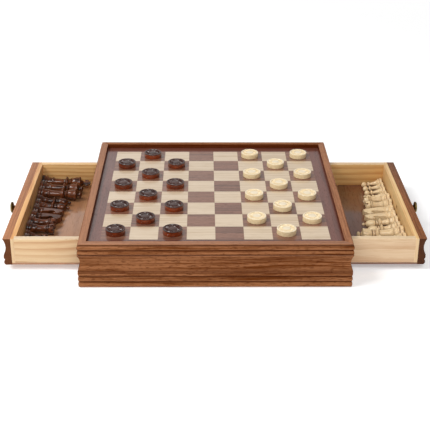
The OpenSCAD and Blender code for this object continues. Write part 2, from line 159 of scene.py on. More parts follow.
def parts_of(tree, place):
    """A vector's X, Y and Z."""
    return add(tree, "ShaderNodeSeparateXYZ", {0: place}).outputs


def joined(tree, **parts):
    """A vector made from its X, Y and Z."""
    return result(tree, "ShaderNodeCombineXYZ", parts)


def ramp(tree, value, low, high, to_low=0.0, to_high=1.0):
    """A value's smooth rise from to_low to to_high while it goes from low to high."""
    inputs = {0: value, 1: low, 2: high, 3: to_low, 4: to_high}
    return result(tree, "ShaderNodeMapRange", inputs, interpolation_type="SMOOTHSTEP")


def noise(tree, place, scale=1.0, detail=2.0, roughness=0.5, out=0):
    """Noise at a place: out 0 is a value, 1 a colour."""
    inputs = {"Vector": place, "Scale": scale, "Detail": detail, "Roughness": roughness}
    return result(tree, "ShaderNodeTexNoise", inputs, out)


def mixed(tree, amount, first, second):
    """Two colours mixed by an amount."""
    return result(tree, "ShaderNodeMix", {0: amount, 6: first, 7: second}, 2, data_type="RGBA")


def hue(code):
    """A colour written as a screen colour, such as 8a5a41, in the linear values that shaders take."""
    screen = [int(code[i:i + 2], 16) / 255 for i in (0, 2, 4)]
    return (*[v / 12.92 if v < 0.04045 else ((v + 0.055) / 1.055) ** 2.4 for v in screen], 1.0)


# %% Helpers for whole trees
def new_group(name, kind_of_tree, inputs, outputs):
    """An empty node group with named sockets: returns it, the sockets it is given and those it fills."""
    tree = bpy.data.node_groups.new(name, kind_of_tree)
    for socket, kind, value in inputs:
        named = tree.interface.new_socket(socket, in_out="INPUT", socket_type="NodeSocket" + kind)
        if value is not None:
            named.default_value = value
    for socket, kind in outputs:
        tree.interface.new_socket(socket, in_out="OUTPUT", socket_type="NodeSocket" + kind)
    return tree, add(tree, "NodeGroupInput").outputs, add(tree, "NodeGroupOutput").inputs


def hand_out(tree, made, **values):
    """Wires results to the sockets of the same names that a group fills."""
    for name, value in values.items():
        tree.links.new(value, made[name])


def new_material(name):
    """A material with an empty tree: returns both."""
    material = bpy.data.materials.new(name)
    material.use_nodes = True
    material.node_tree.nodes.clear()
    return material, material.node_tree


# %% [markdown]
# ## Grain that goes through the wood
#
# Real boards are cut from a log of nested rings, so the lines on a face and the arcs on its end belong
# together. A picture of wood wrapped round each piece would break at every edge. This group works in three
# dimensions instead: it measures each point's distance from the log's core, bends it with slow noise, and
# adds fibres and pores that are much longer along the grain than across it. Every wood in the box uses it,
# with its own numbers. A piece's number moves it through the noise, so that no two pieces share a figure.

# %% The sawn wood group, with how fine each part of the figure is along the grain and across it
SLOW_BENDS = (5, 16, 16)
FIBRES = (22, 700, 700)
FLECKS = (70, 420, 420)
TONES = (7, 90, 90)
OWN_PLACE = (1.7, 3.1, 2.3)

wood_group, given, made = new_group("sawn_wood", "ShaderNodeTree", [
    ("Vector", "Vector", (0, 0, 0)), ("Log Core", "Vector", (0, 0, -0.08)), ("Ring Width", "Float", 0.005),
    ("Waviness", "Float", 0.004), ("Fleck Size", "Float", 1.0), ("Piece", "Float", 0.0),
], [("Rings", "Float"), ("Fibres", "Float"), ("Flecks", "Float"), ("Tone", "Float")])
away = scaled(wood_group, OWN_PLACE, given["Piece"])
slow = vector_calc(wood_group, "MULTIPLY", vector_calc(wood_group, "ADD", given["Vector"], away), SLOW_BENDS)
bend = vector_calc(wood_group, "SUBTRACT", noise(wood_group, slow, detail=3, out=1), (0.5, 0.5, 0.5))
bend = scaled(wood_group, bend, calc(wood_group, "MULTIPLY", given["Waviness"], 2.0))
bent = vector_calc(wood_group, "ADD", given["Vector"], bend)
from_core = vector_calc(wood_group, "SUBTRACT", bent, given["Log Core"])
across = vector_calc(wood_group, "MULTIPLY", from_core, (0, 1, 1))
distance = vector_calc(wood_group, "LENGTH", across, out="Value")
phase = calc(wood_group, "FRACT", calc(wood_group, "DIVIDE", distance, given["Ring Width"]))
darkens = ramp(wood_group, phase, 0.25, 0.9)
ends = ramp(wood_group, phase, 0.92, 1.0, 1.0, 0.0)
drawn = vector_calc(wood_group, "ADD", bent, away)
fibre_place = vector_calc(wood_group, "MULTIPLY", drawn, FIBRES)
fleck_place = vector_calc(wood_group, "MULTIPLY", drawn, FLECKS)
fleck_place = scaled(wood_group, fleck_place, calc(wood_group, "DIVIDE", 1.0, given["Fleck Size"]))
tone_place = vector_calc(wood_group, "MULTIPLY", drawn, TONES)
hand_out(wood_group, made, Rings=calc(wood_group, "MULTIPLY", darkens, ends),
         Fibres=noise(wood_group, fibre_place, detail=3, roughness=0.6),
         Flecks=ramp(wood_group, noise(wood_group, fleck_place), 0.52, 0.68),
         Tone=noise(wood_group, tone_place, detail=3, roughness=0.55))
print("sawn_wood has", len(wood_group.nodes), "nodes")

# %% [markdown]
# ## Signs of use, and painted shade
#
# Three things keep lacquered wood from looking like plastic. Hands leave the gloss uneven, edges rub pale,
# and painted shade darkens a moulding's quirks. The first is a soft noise that a material adds to its
# roughness. The others need to know where the edges and the hollows are: pieces whose edges are eased below
# carry a mark on exactly those places, and this group reads both marks and breaks the first one up.

# %% The handling group, which also passes on the hollow mark for painted shade
handling_and_shade_group, given, made = new_group("handling_and_shade", "ShaderNodeTree", [
    ("Vector", "Vector", (0, 0, 0)), ("Smudge Size", "Float", 0.03), ("Rub", "Float", 0.5),
], [("Smudges", "Float"), ("Rubbed", "Float"), ("Hollow", "Float")])


def mark(name):
    """A mark that a mesh carries, as the handling group reads it."""
    settings = {"attribute_name": name, "attribute_type": "GEOMETRY"}
    return result(handling_and_shade_group, "ShaderNodeAttribute", out="Fac", **settings)


spread = scaled(handling_and_shade_group, given["Vector"], calc(handling_and_shade_group, "DIVIDE", 1.0, given["Smudge Size"]))
patchy = ramp(handling_and_shade_group, noise(handling_and_shade_group, given["Vector"], 180, 3), 0.35, 0.6)
rubbed = calc(handling_and_shade_group, "MULTIPLY", mark("eased"), patchy)
# The hollow mark is passed on as it is, for painted shade.
hand_out(handling_and_shade_group, made, Smudges=noise(handling_and_shade_group, spread, detail=4, roughness=0.6),
         Rubbed=calc(handling_and_shade_group, "MULTIPLY", rubbed, given["Rub"]), Hollow=mark("hollow"))
print("handling has", len(handling_and_shade_group.nodes), "nodes")

# %% [markdown]
# ## The woods
#
# Every wood is made by one function, from four colours: the light early wood, the dark late wood, the
# pores, which also colour the painted shade in hollows, and the pale of rubbed edges, which also colours
# a painted sheen on tops. A look holds those and the rest of its settings: how wide its rings are and how
# much they wave, both in metres, how strongly the rings, the tone, the fibres and the flecks show, and how
# it is finished. Turning the coordinates turns the grain, so that it runs along each piece. Each length
# of moulding and each drawer side has a wood of its own, because no two boards in a real box match, and
# some are also painted lighter or darker for the light that falls on them.

# %% The bare figure
PLAIN_WOOD = dict(fleck_size=1.0, coat_rough=0.25, specular=0.5, end_dark=0.0, top_rub=0.0, tiles=0.0,
                  tile_show=0.0, dark_above=None, dark_inside=False)


def sawn(tree, place, grain, core, piece, look):
    """The wood group on a piece: its outputs, and a tone for each tile where the look has tiles."""
    turn = {"X": 0, "Y": math.radians(-90)}[grain]
    along = result(tree, "ShaderNodeMapping", {"Vector": place, "Rotation": (0, 0, turn)})
    own = None
    if look.tiles:
        cell = vector_calc(tree, "FLOOR", vector_calc(tree, "DIVIDE", place, (look.tiles, look.tiles, 1)))
        own = result(tree, "ShaderNodeTexWhiteNoise", {"Vector": cell}, "Value", noise_dimensions="3D")
        piece = calc(tree, "MULTIPLY_ADD", own, 9.0, piece)
    figure = add(tree, "ShaderNodeGroup", {
        "Vector": along, "Log Core": core, "Ring Width": look.ring, "Waviness": look.wave,
        "Fleck Size": look.fleck_size, "Piece": piece,
    }, node_tree=wood_group)
    return figure.outputs, own


def bare_colour(tree, rings, parts, look):
    """Early wood that is darkened by its rings, and up or down by each part about the part's middle."""
    shown = calc(tree, "MULTIPLY", rings, look.ring_show)
    for part, middle, show in parts:
        shown = calc(tree, "MULTIPLY_ADD", calc(tree, "SUBTRACT", part, middle), show, shown)
    return mixed(tree, result(tree, "ShaderNodeClamp", {"Value": shown}), hue(look.pale), hue(look.dark))


# %% [markdown]
# ## Layers of colour
#
# A finisher works in thin layers over the bare wood, and so does this function. First come the flecks, then
# the rubbed edges and a painted shade in the hollows. A painted sheen on upward faces follows, and end
# grain, which drinks more stain than a face does. Two layers are only for some pieces: draughtsmen have
# darker faces than sides, so all above a height is darkened, and the rim's faces towards the board get a
# painted shade.

# %% What lies over the bare wood
RIM_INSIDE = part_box("back_border")[1].y + 0.2 * MM
# Painted shade: its colour on the rim's inner faces, and how strongly it darkens hollows and those faces.
RIM_SHADE = "5e2202"
HOLLOW_SHADE = 0.85
RIM_SHADE_SHARE = 0.85
FACE_STAIN = 0.8


def layers_of(tree, place, grain, figure, use, look):
    """How much of each layer shows, and its colour, from the first to the last."""
    spot = parts_of(tree, place)
    facing = parts_of(tree, result(tree, "ShaderNodeNewGeometry", out="Normal"))
    layers = [
        (calc(tree, "MULTIPLY", figure["Flecks"], look.fleck_show), look.pore),
        (use["Rubbed"], look.worn),
        # Painted shade in the hollows, in the pore colour.
        (calc(tree, "MULTIPLY", use["Hollow"], HOLLOW_SHADE), look.pore),
    ]
    # A painted sheen that pales upward faces, in the colour of rubbed edges.
    if look.top_rub:
        layers.append((ramp(tree, facing["Z"], 0.85, 0.98, 0.0, look.top_rub), look.worn))
    if look.end_dark:
        end_on = calc(tree, "ABSOLUTE", facing[grain])
        layers.append((ramp(tree, end_on, 0.75, 0.9, 0.0, look.end_dark), look.pore))
    if look.dark_above:
        above = ramp(tree, spot["Z"], look.dark_above, look.dark_above + 0.3 * MM, 0.0, FACE_STAIN)
        layers.append((above, look.pore))
    # Painted shade on the rim's faces towards the board.
    if look.dark_inside:
        reach = calc(tree, "MAXIMUM", calc(tree, "ABSOLUTE", spot["X"]), calc(tree, "ABSOLUTE", spot["Y"]))
        inside = calc(tree, "LESS_THAN", reach, RIM_INSIDE)
        layers.append((calc(tree, "MULTIPLY", inside, RIM_SHADE_SHARE), RIM_SHADE))
    return layers


# %% A function for wood
def wood(look, name, grain, core, piece, **changes):
    """A wood with its grain along X or Y, sawn from a log round core: a look, with some settings changed."""
    look = SimpleNamespace(**{**PLAIN_WOOD, **look, **changes})
    material, tree = new_material(name)
    place = result(tree, "ShaderNodeTexCoord", out="Object")
    figure, own = sawn(tree, place, grain, core, piece, look)
    use = add(tree, "ShaderNodeGroup", {"Vector": place}, node_tree=handling_and_shade_group).outputs
    fibre = ramp(tree, figure["Fibres"], 0.3, 0.7)
    parts = [(ramp(tree, figure["Tone"], 0.3, 0.7), 0.35, look.tone_show), (fibre, 0.5, look.fibre_show)]
    if look.tiles:
        parts.append((own, 0.5, look.tile_show))
    colour = bare_colour(tree, figure["Rings"], parts, look)
    for amount, paint in layers_of(tree, place, grain, figure, use, look):
        colour = mixed(tree, amount, colour, hue(paint))
    relief = calc(tree, "MULTIPLY_ADD", figure["Flecks"], -0.6, fibre)
    normal = result(tree, "ShaderNodeBump", {"Height": relief, "Strength": look.bump, "Distance": 0.2 * MM})
    gloss = calc(tree, "MULTIPLY_ADD", calc(tree, "SUBTRACT", use["Smudges"], 0.5), 0.25, look.rough)
    gloss = calc(tree, "MULTIPLY_ADD", figure["Flecks"], 0.15, gloss)
    surface = result(tree, "ShaderNodeBsdfPrincipled", {
        "Base Color": colour, "Roughness": gloss, "Normal": normal, "Coat Weight": look.coat,
        "Coat Roughness": look.coat_rough, "Specular IOR Level": look.specular,
    })
    add(tree, "ShaderNodeOutputMaterial", {"Surface": surface})
    return material


# %% [markdown]
# ## Walnut
#
# The frame's four mouldings and the two drawer fronts are walnut. They look stained and waxed rather than
# varnished, so they have no coat and hardly any mirror. Their tops get a painted sheen, strongest on the
# left and weakest at the back. The left drawer's front is painted lighter and the right one's darker, as
# painted light and shade. The rim's inner faces get a painted shade, darkest of all, a shadow line round
# the board.

# %% Walnut for the mouldings, one grain direction a side
NEAR_LOG = (0, -0.10, -0.06)
BACK_LOG = (0, 0.10, -0.07)
WIDE_LOG = (0, 0.30, -0.06)
walnut_look = dict(
    pale="9a6541", dark="602e08", pore="481d04", worn="c9977b", ring=0.0042, wave=0.006, ring_show=0.55,
    tone_show=0.75, fibre_show=0.7, fleck_show=0.6, fleck_size=0.5, rough=0.45, coat=0.0, specular=0.05,
    bump=0.35, end_dark=0.5, top_rub=0.45, dark_inside=True)
# Each side's top gets a painted sheen of its own: strongest on the left, weakest at the back.
front_walnut = wood(walnut_look, "front_walnut", "X", NEAR_LOG, 1, top_rub=0.36)
back_walnut = wood(walnut_look, "back_walnut", "X", BACK_LOG, 2, top_rub=0.05)
left_walnut = wood(walnut_look, "left_walnut", "Y", NEAR_LOG, 3, top_rub=0.5)
right_walnut = wood(walnut_look, "right_walnut", "Y", WIDE_LOG, 4, top_rub=0.22)
# Lit and shaded copies: the left drawer's front is painted lighter, the right one's darker.
lit_left_front = wood(walnut_look, "left_front_walnut_lit", "Y", NEAR_LOG, 18, pale="af6f3e", dark="77411c",
                  pore="5a3420", end_dark=0.85)
shaded_right_front = wood(walnut_look, "right_front_walnut_shaded", "Y", WIDE_LOG, 19, pale="8b532c", dark="582e14",
                  pore="45281c", end_dark=0.85, top_rub=0.12)
print("a walnut board takes", len(front_walnut.node_tree.nodes), "nodes")

# %% [markdown]
# ## Veneers
#
# The board is laid in veneer: maple and walnut squares in a wide dark border, all under a glossy lacquer.
# Squares are cut from many places of a sheet, so each one has a tone and a figure of its own. Sixty-four
# materials would do it, but one material that numbers the squares by their place does the same.

# %% Veneers for the board
SQUARE = 40 * MM
SHEET_LOG = (0, 0.4, -0.35)
veneer_look = dict(rough=0.36, coat=0.8, coat_rough=0.1, bump=0.08, tiles=SQUARE)
border_look = dict(
    veneer_look, pale="744234", dark="4d281e", pore="311611", worn="9c7866", ring=0.009, wave=0.002,
    ring_show=0.25, tone_show=0.7, fibre_show=0.5, fleck_show=0.25, fleck_size=0.6, tiles=0.0)
border_x = wood(border_look, "border_along_x", "X", (0, 0.2, -0.3), 5)
border_y = wood(border_look, "border_along_y", "Y", (0, 0.25, -0.3), 6)
dark_veneer = wood(veneer_look, "dark_square_veneer", "X", SHEET_LOG, 7, pale="8b5e48", dark="5b3828",
                   pore="3b2118", worn="9c7866", ring=0.007, wave=0.003, ring_show=0.35, tone_show=0.7,
                   fibre_show=0.6, fleck_show=0.35, fleck_size=0.6, tile_show=0.35)
light_veneer = wood(veneer_look, "light_square_veneer", "X", SHEET_LOG, 8, pale="dec8ac", dark="bfa37e",
                    pore="aa8b67", worn="efe2c6", ring=0.006, wave=0.002, ring_show=0.3, tone_show=0.5,
                    fibre_show=0.35, fleck_show=0.12, tile_show=0.25)
print("the 32 dark squares take", len(dark_veneer.node_tree.nodes), "nodes")

# %% [markdown]
# ## Pine
#
# The drawers are pine behind their walnut fronts, thinly varnished. Pine shows its rings more than its
# pores. The far sides are painted yellower and the inner fronts warmer still, a painted warm light as
# bounced inside a drawer, and the inner fronts have paler ends. The bottoms are thin sheets with a glossy
# brown veneer, the right one painted much darker than the left one, as painted shade.

# %% Pine for the drawers, and the sheet of their bottoms
LOW_LOG = (0, 0.05, -0.075)
HIGH_LOG = (0, 0.06, 0.10)
CROSS_LOG = (0, 0.31, -0.03)
FLOOR_LOG = (0, 0.5, -0.4)
# Pine tops get a painted sheen; the cross pieces below get none.
pine_look = dict(
    pale="d9ba8f", dark="bc8858", pore="ac7644", worn="f6e6cc", ring=0.006, wave=0.004, ring_show=0.6,
    tone_show=0.35, fibre_show=0.25, fleck_show=0.1, rough=0.5, coat=0.2, coat_rough=0.3, bump=0.12,
    end_dark=0.25, top_rub=0.4)
cross_look = dict(pine_look, pore="d9b98e", end_dark=0.9, top_rub=0.0)
sheet_look = dict(
    pore="48301f", worn="94694a", ring=0.012, wave=0.004, ring_show=0.25, tone_show=0.35, fibre_show=0.2,
    fleck_show=0.12, rough=0.4, coat=0.8, coat_rough=0.1, bump=0.05)
pine_side = wood(pine_look, "pine_side", "X", LOW_LOG, 9, ring=0.0055)
pine_side_warm = wood(pine_look, "pine_side_warm", "X", HIGH_LOG, 10, pale="dcbd97", dark="bd8a5c",
                      worn="f6ddb4", ring=0.007, ring_show=0.45, top_rub=0.5)
# Painted warm light, as bounced in a drawer: the far sides are painted yellower.
pine_far = wood(pine_look, "pine_far_side", "X", LOW_LOG, 22, pale="eabd7e", dark="c88b4c", ring=0.0055,
                top_rub=0.15)
pine_far_gold = wood(pine_look, "pine_far_side_golden", "X", HIGH_LOG, 23, pale="e2b676", dark="c38647",
                     ring=0.007)
# Painted warm light, as bounced in a drawer: the inner fronts and backs warmer, the left one most.
pine_cross = wood(cross_look, "pine_cross", "Y", CROSS_LOG, 11, pale="eec98c", dark="cd9356")
pine_ruddy = wood(cross_look, "pine_ruddy", "Y", CROSS_LOG, 21, pale="eeb878", dark="c88246")
pine_inside = wood(pine_look, "pine_inside", "X", (0, 0.1, -0.15), 12, ring=0.008, wave=0.006)
left_sheet = wood(sheet_look, "left_drawer_sheet", "Y", FLOOR_LOG, 13, pale="a8754f", dark="8a5c3c")
# Painted shade: this bottom is much darker than the left one's.
shaded_right_sheet = wood(sheet_look, "right_drawer_sheet_shaded", "Y", FLOOR_LOG, 20, pale="724127", dark="5e3a24")
print("a pine board takes", len(pine_side.node_tree.nodes), "nodes")

# %% [markdown]
# ## Boxwood
#
# The men are boxwood, which is close-grained enough to turn finely. One side is left clear and the other is
# stained a very dark brown, and all are lacquered. The stain is reddest round the draughtsmen's sides, and
# darkest on their faces.

# %% Stained and clear boxwood for the men
BOX_LOG = (0, 0.2, -0.1)
FACES_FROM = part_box("dark_draughtsmen")[1].z - 1.2 * MM
stain_look = dict(
    dark="180602", pore="0e0403", worn="8a4520", ring=0.003, wave=0.004, tone_show=0.9, fibre_show=0.3,
    fleck_size=0.6, specular=0.2, bump=0.04)
clear_look = dict(ring=0.003, wave=0.003, fibre_show=0.25, fleck_size=0.5, bump=0.05)
dark_stain = wood(stain_look, "dark_stained_chessman", "X", BOX_LOG, 14, pale="70391a", ring=0.004,
                  ring_show=0.4, fleck_show=0.3, rough=0.35, coat=0.65, coat_rough=0.04)
dark_disc = wood(stain_look, "dark_stained_draughtsman", "X", BOX_LOG, 16, pale="8a3608", dark="4c1a05",
                 pore="120604", ring_show=0.3, fleck_show=0.2, rough=0.5, coat=0.8, coat_rough=0.05,
                 dark_above=FACES_FROM)
clear_box = wood(clear_look, "clear_chessman", "X", BOX_LOG, 15, pale="e7cb9d", dark="c4a074", pore="75491f",
                 worn="f3e8cd", ring_show=0.35, tone_show=0.4, fleck_show=0.2, rough=0.42, coat=0.35,
                 coat_rough=0.2)
# The clear draughtsmen's faces are paled by a painted sheen.
clear_disc = wood(clear_look, "clear_draughtsman", "X", BOX_LOG, 17, pale="f2dcb0", dark="dcbe8a",
                  pore="b98d52", worn="fbf4e8", ring_show=0.3, tone_show=0.3, fleck_show=0.15, rough=0.4,
                  coat=0.5, coat_rough=0.1, top_rub=0.4)
print("a man's face is darker from", round(FACES_FROM / MM, 1), "mm up")

# %% [markdown]
# ## Brass
#
# The knobs are old brass, brown where nobody touches them and brighter where a thumb does. The smudges of
# the handling group, made small, place the bright patches, and a very fine noise roughens the metal.


# %% Old brass
def brass(name, bright, tarnish, rough):
    """Brass that has darkened except where it is handled."""
    material, tree = new_material(name)
    place = result(tree, "ShaderNodeTexCoord", out="Object")
    smudges = result(tree, "ShaderNodeGroup", {"Vector": place, "Smudge Size": 6 * MM}, "Smudges",
                     node_tree=handling_and_shade_group)
    cloud = ramp(tree, smudges, 0.35, 0.65)
    colour = mixed(tree, cloud, hue(bright), hue(tarnish))
    gloss = calc(tree, "MULTIPLY_ADD", cloud, 0.25, rough)
    fine = noise(tree, place, 1400, 3)
    normal = result(tree, "ShaderNodeBump", {"Height": fine, "Strength": 0.15, "Distance": 0.1 * MM})
    surface = result(tree, "ShaderNodeBsdfPrincipled", {
        "Base Color": colour, "Metallic": 0.95, "Roughness": gloss, "Normal": normal,
    })
    add(tree, "ShaderNodeOutputMaterial", {"Surface": surface})
    return material


knob_brass = brass("antique_brass", "8f7a48", "4d3f26", 0.28)
screw_brass = brass("screw_brass", "b59a5c", "7c6638", 0.3)
print("brass takes", len(knob_brass.node_tree.nodes), "nodes")

# %% [markdown]
# ## A finish for every piece
#
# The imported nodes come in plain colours. A table says which finish each one gets; the men follow their
# names. Nodes that stay as they were packed, such as the veneers and the rails, wear it themselves, and the
# eased copies made below take it over from theirs.

# %% Give every node its finish
FINISH = {
    "front_moulding": front_walnut, "back_moulding": back_walnut, "left_moulding": left_walnut,
    "right_moulding": right_walnut, "front_border": border_x, "back_border": border_x,
    "left_border": border_y, "right_border": border_y, "dark_squares": dark_veneer,
    "light_squares": light_veneer, "bottom_panel": pine_inside, "board_core": pine_inside,
    "front_guide": pine_inside, "back_guide": pine_inside, "centre_divider": pine_cross,
    "left_knob": knob_brass, "right_knob": knob_brass, "left_knob_screw": screw_brass,
    "right_knob_screw": screw_brass, "left_drawer_front": lit_left_front, "right_drawer_front": shaded_right_front,
    "left_drawer_inner_front": pine_ruddy, "right_drawer_inner_front": pine_cross,
    "left_drawer_back": pine_cross, "right_drawer_back": pine_cross,
    "left_drawer_near_side": pine_side, "left_drawer_far_side": pine_far,
    "right_drawer_near_side": pine_side_warm, "right_drawer_far_side": pine_far_gold,
    "left_drawer_floor": left_sheet, "right_drawer_floor": shaded_right_sheet,
}
for name, node in frame["nodes"].items():
    finish = FINISH.get(name) or (dark_stain if name.startswith("dark_") else clear_box)
    node.data.materials.clear()
    node.data.materials.append(finish)
print(len(FINISH), "pieces from the table,", len(frame["nodes"]) - len(FINISH), "rows of men by name")

# %% [markdown]
# ## Easing the edges
#
# Nobody leaves a sharp arris on a box that is handled: every edge gets a stroke of sandpaper. A bevel
# modifier could do it, but a imported node is loose triangles, with nothing for a bevel to run along. So a
# copy is made of each wooden piece, its doubled points are merged and its flat faces made whole, and then
# its convex edges are bevelled. The new faces carry the mark that the handling group reads. The copy stands
# for the node, which is hidden.
#
# A moulding gets two things more. Its quirks and the foot of its cove are marked as hollows, which get
# a painted shade. And two fine lines are scribed round it, one at the foot of the cove and one under the
# rim: the surface is cut along three levels, and the middle one is pressed in and marked as a hollow too.

# %% How far edges are eased, and where a moulding's hollows are in millimetres
EASE_FRAME = 0.35 * MM
EASE_DRAWER = 0.4 * MM
MERGE = 0.002 * MM
ARRIS_DEGREES = 28
QUIRK_DEGREES = 18
SCRIBED = ((25.7, 1.8, 0.7), (64.9, 2.6, 0.9))
COVE_FOOT, COVE_MIDDLE = 24.9, 32
# How strongly the foot of the cove is darkened, as painted shade.
COVE_SHADE = 0.5
OUTER_SKIN = 5 * MM


def finished_object(name, mesh, body, slot, *replaced):
    """Puts a finished mesh in the scene, on its body, in place of the nodes that it stands for."""
    piece = put(name, mesh)
    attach(piece, body)
    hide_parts(*replaced)
    return piece


def body_of(node):
    """The body that a node rides on."""
    return frame["nodes"][node]["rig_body"]


def mark_shade(point, hollow, share):
    """Marks a point as a hollow for painted shade, by a share of the deepest, unless marked more already."""
    for corner in point.link_loops:
        corner[hollow] = max(corner[hollow], share)


def folds(shape, degrees, outwards):
    """The edges where the surface turns outwards, or inwards, by more than an angle."""
    sign = 1 if outwards else -1
    return [
        edge for edge in shape.edges
        if len(edge.link_faces) == 2 and sign * edge.calc_face_angle_signed() > math.radians(degrees)
    ]


# %% Grooves and hollows of a moulding
def scribe(shape, height, wide, deep, hollow):
    """Presses a fine V groove into a moulding's outer faces, and marks it as a hollow for painted shade."""
    for level in (height - wide / 2, height, height + wide / 2):
        whole = shape.verts[:] + shape.edges[:] + shape.faces[:]
        bmesh.ops.bisect_plane(shape, geom=whole, dist=MERGE / 2, plane_co=(0, 0, level), plane_no=(0, 0, 1))
    outer = max(max(abs(point.co.x), abs(point.co.y)) for point in shape.verts) - OUTER_SKIN
    for point in shape.verts:
        share = 1 - abs(point.co.z - height) / (wide / 2)
        for axis in (0, 1):
            if share > 0.001 and abs(point.co[axis]) > outer:
                point.co[axis] -= math.copysign(deep * share, point.co[axis])
                mark_shade(point, hollow, share)


def shade_cove_foot(shape, low, high, hollow):
    """Marks the lower part of the cove for a painted shade, darkest at its foot."""
    for point in shape.verts:
        if low < point.co.z < high:
            mark_shade(point, hollow, COVE_SHADE * (high - point.co.z) / (high - low))


# %% A function that eases a node's edges
def eased(node, width, slot, moulded=False):
    """Replaces a node by a copy whose convex edges are rounded over. A moulded one has its hollows marked."""
    shape = bmesh.new()
    shape.from_mesh(frame["nodes"][node].data)
    bmesh.ops.remove_doubles(shape, verts=shape.verts, dist=MERGE)
    bmesh.ops.dissolve_limit(shape, angle_limit=math.radians(0.3), verts=shape.verts, edges=shape.edges)
    mark = shape.loops.layers.float.new("eased")
    hollow = shape.loops.layers.float.new("hollow")
    # Quirks are marked as full hollows, for painted shade.
    if moulded:
        for quirk in folds(shape, QUIRK_DEGREES, outwards=False):
            for point in quirk.verts:
                mark_shade(point, hollow, 1.0)
    arrises = folds(shape, ARRIS_DEGREES, outwards=True)
    rounded = bmesh.ops.bevel(shape, geom=arrises, offset=width, offset_type="OFFSET", segments=2,
                              profile=0.5, affect="EDGES", clamp_overlap=True)
    for face in rounded["faces"]:
        for corner in face.loops:
            corner[mark] = 1.0
    # The foot of the cove gets painted shade, and the scribed lines are marked as hollows too.
    if moulded:
        shade_cove_foot(shape, COVE_FOOT * MM, COVE_MIDDLE * MM, hollow)
        for height, wide, deep in SCRIBED:
            scribe(shape, height * MM, wide * MM, deep * MM, hollow)
    mesh = bpy.data.meshes.new(node + "_eased")
    shape.to_mesh(mesh)
    shape.free()
    mesh.materials.append(frame["nodes"][node].data.materials[0])
    mesh.shade_smooth()
    mesh.set_sharp_from_angle(angle=math.radians(35))
    finished_object(node + "_eased", mesh, body_of(node), slot, node)
    return len(arrises)


# %% Ease the frame and the drawers
eased_edges = 0
for side in ("front", "back", "left", "right"):
    eased_edges += eased(side + "_moulding", EASE_FRAME, "walnut_moulding", moulded=True)
for side in ("left", "right"):
    eased_edges += eased(side + "_drawer_front", EASE_FRAME, "walnut_moulding", moulded=True)
    for part in ("inner_front", "near_side", "far_side", "back"):
        eased_edges += eased(f"{side}_drawer_{part}", EASE_DRAWER, "pine")
    eased_edges += eased(side + "_drawer_floor", EASE_DRAWER, "drawer_sheet")
print(eased_edges, "edges eased")

# %% [markdown]
# ## Turned pieces
#
# Knobs, draughtsmen and most chessmen are turned: a blank spins in a lathe and a cutter follows a profile.
# A profile is drawn here as a turner would call it out, member by member: flats, beads and coves. Spinning
# it could be done with a Screw modifier. A Geometry Nodes tree does it instead, because the same tree can
# then saw slots in a crown, add a carved part, and lay out a whole row of copies, each turned a little
# differently about its own axis.
#
# The tree takes a flat grid, and rolls it up: a point's place across the grid says how far round it goes,
# and its row says which point of the profile it takes. Where the profile has a groove, the points of the
# profile carry a hollow mark, and the grid takes that over too, so that grooves get a painted shade as in
# the mouldings.


# %% The members of a profile, as points of radius and height
def bead(radius, low, high, out, steps=8):
    """A half round on a given radius, from low to high, that stands out."""
    middle, half = (low + high) / 2, (high - low) / 2
    turns = [math.radians(180 * n / steps - 90) for n in range(steps + 1)]
    return [(radius + out * math.cos(t), middle + half * math.sin(t)) for t in turns]


def sweep(start, pull, end, steps=10):
    """A smooth curve from start to end that leans towards the point pull."""
    points = []
    for n in range(steps + 1):
        t = n / steps
        parts = zip(start, pull, end)
        points.append(tuple(a * (1 - t) ** 2 + 2 * b * t * (1 - t) + c * t * t for a, b, c in parts))
    return points


def globe(radius, middle, low=-60, steps=12):
    """A ball on the axis, from the angle low up to its top."""
    turns = [math.radians(low + (90 - low) * n / steps) for n in range(steps)]
    return [(radius * math.cos(t), middle + radius * math.sin(t)) for t in turns] + [(0, middle + radius)]


# %% A profile becomes a mesh, with its grooves marked
def without_repeats(points, near=0.02):
    """The profile without points that fall on the one before."""
    kept = points[:1]
    for point in points[1:]:
        if math.dist(point, kept[-1]) > near:
            kept.append(point)
    return kept


def hollow_of(point, points, reach=2.4, deep=0.9):
    """How far a point of a profile lies in a groove, from 0 to 1: both of its sides have to be wider."""
    radius, height = point
    turn = points.index(point)
    before = max(other for other, place in points[:turn + 1] if abs(place - height) <= reach)
    after = max(other for other, place in points[turn:] if abs(place - height) <= reach)
    return min(1.0, (min(before, after) - radius) / deep)


def profile_mesh(points):
    """A profile in millimetres as a chain of edges in the XZ plane, with its hollows marked."""
    kept = without_repeats(points)
    mesh = bpy.data.meshes.new("profile")
    chain = [(n, n + 1) for n in range(len(kept) - 1)]
    mesh.from_pydata([(radius * MM, 0, height * MM) for radius, height in kept], chain, [])
    # The hollow marks become painted shade in the wood.
    marks = mesh.attributes.new("hollow", "FLOAT", "POINT")
    marks.data.foreach_set("value", [hollow_of(point, kept) for point in kept])
    return mesh


# %% A Geometry Nodes tree: the lathe
lathe, given, made = new_group("turned_row", "GeometryNodeTree", [
    ("Profile", "Geometry", None), ("Segments", "Int", 48), ("Sharp Above", "Float", 0.6),
    ("Carved Part", "Object", None), ("Slots", "Int", 0), ("Slot Size", "Vector", (0.01, 0.001, 0.01)),
    ("Slot Place", "Vector", (0, 0, 0)), ("Slot Tilt", "Float", 0.0), ("Copies", "Int", 1),
    ("First", "Vector", (0, 0, 0)), ("Pitch", "Float", 0.0), ("Lie", "Vector", (0, 0, 0)),
    ("Spin", "Float", 0.0), ("Spin Range", "Float", 0.0), ("Seed", "Int", 0), ("Material", "Material", None),
], [("Geometry", "Geometry")])
profile = given["Profile"]
rows = result(lathe, "GeometryNodeAttributeDomainSize", {"Geometry": profile}, "Point Count")
columns = calc(lathe, "ADD", given["Segments"], 1.0)
grid = {"Size X": 1.0, "Size Y": 1.0, "Vertices X": columns, "Vertices Y": rows}
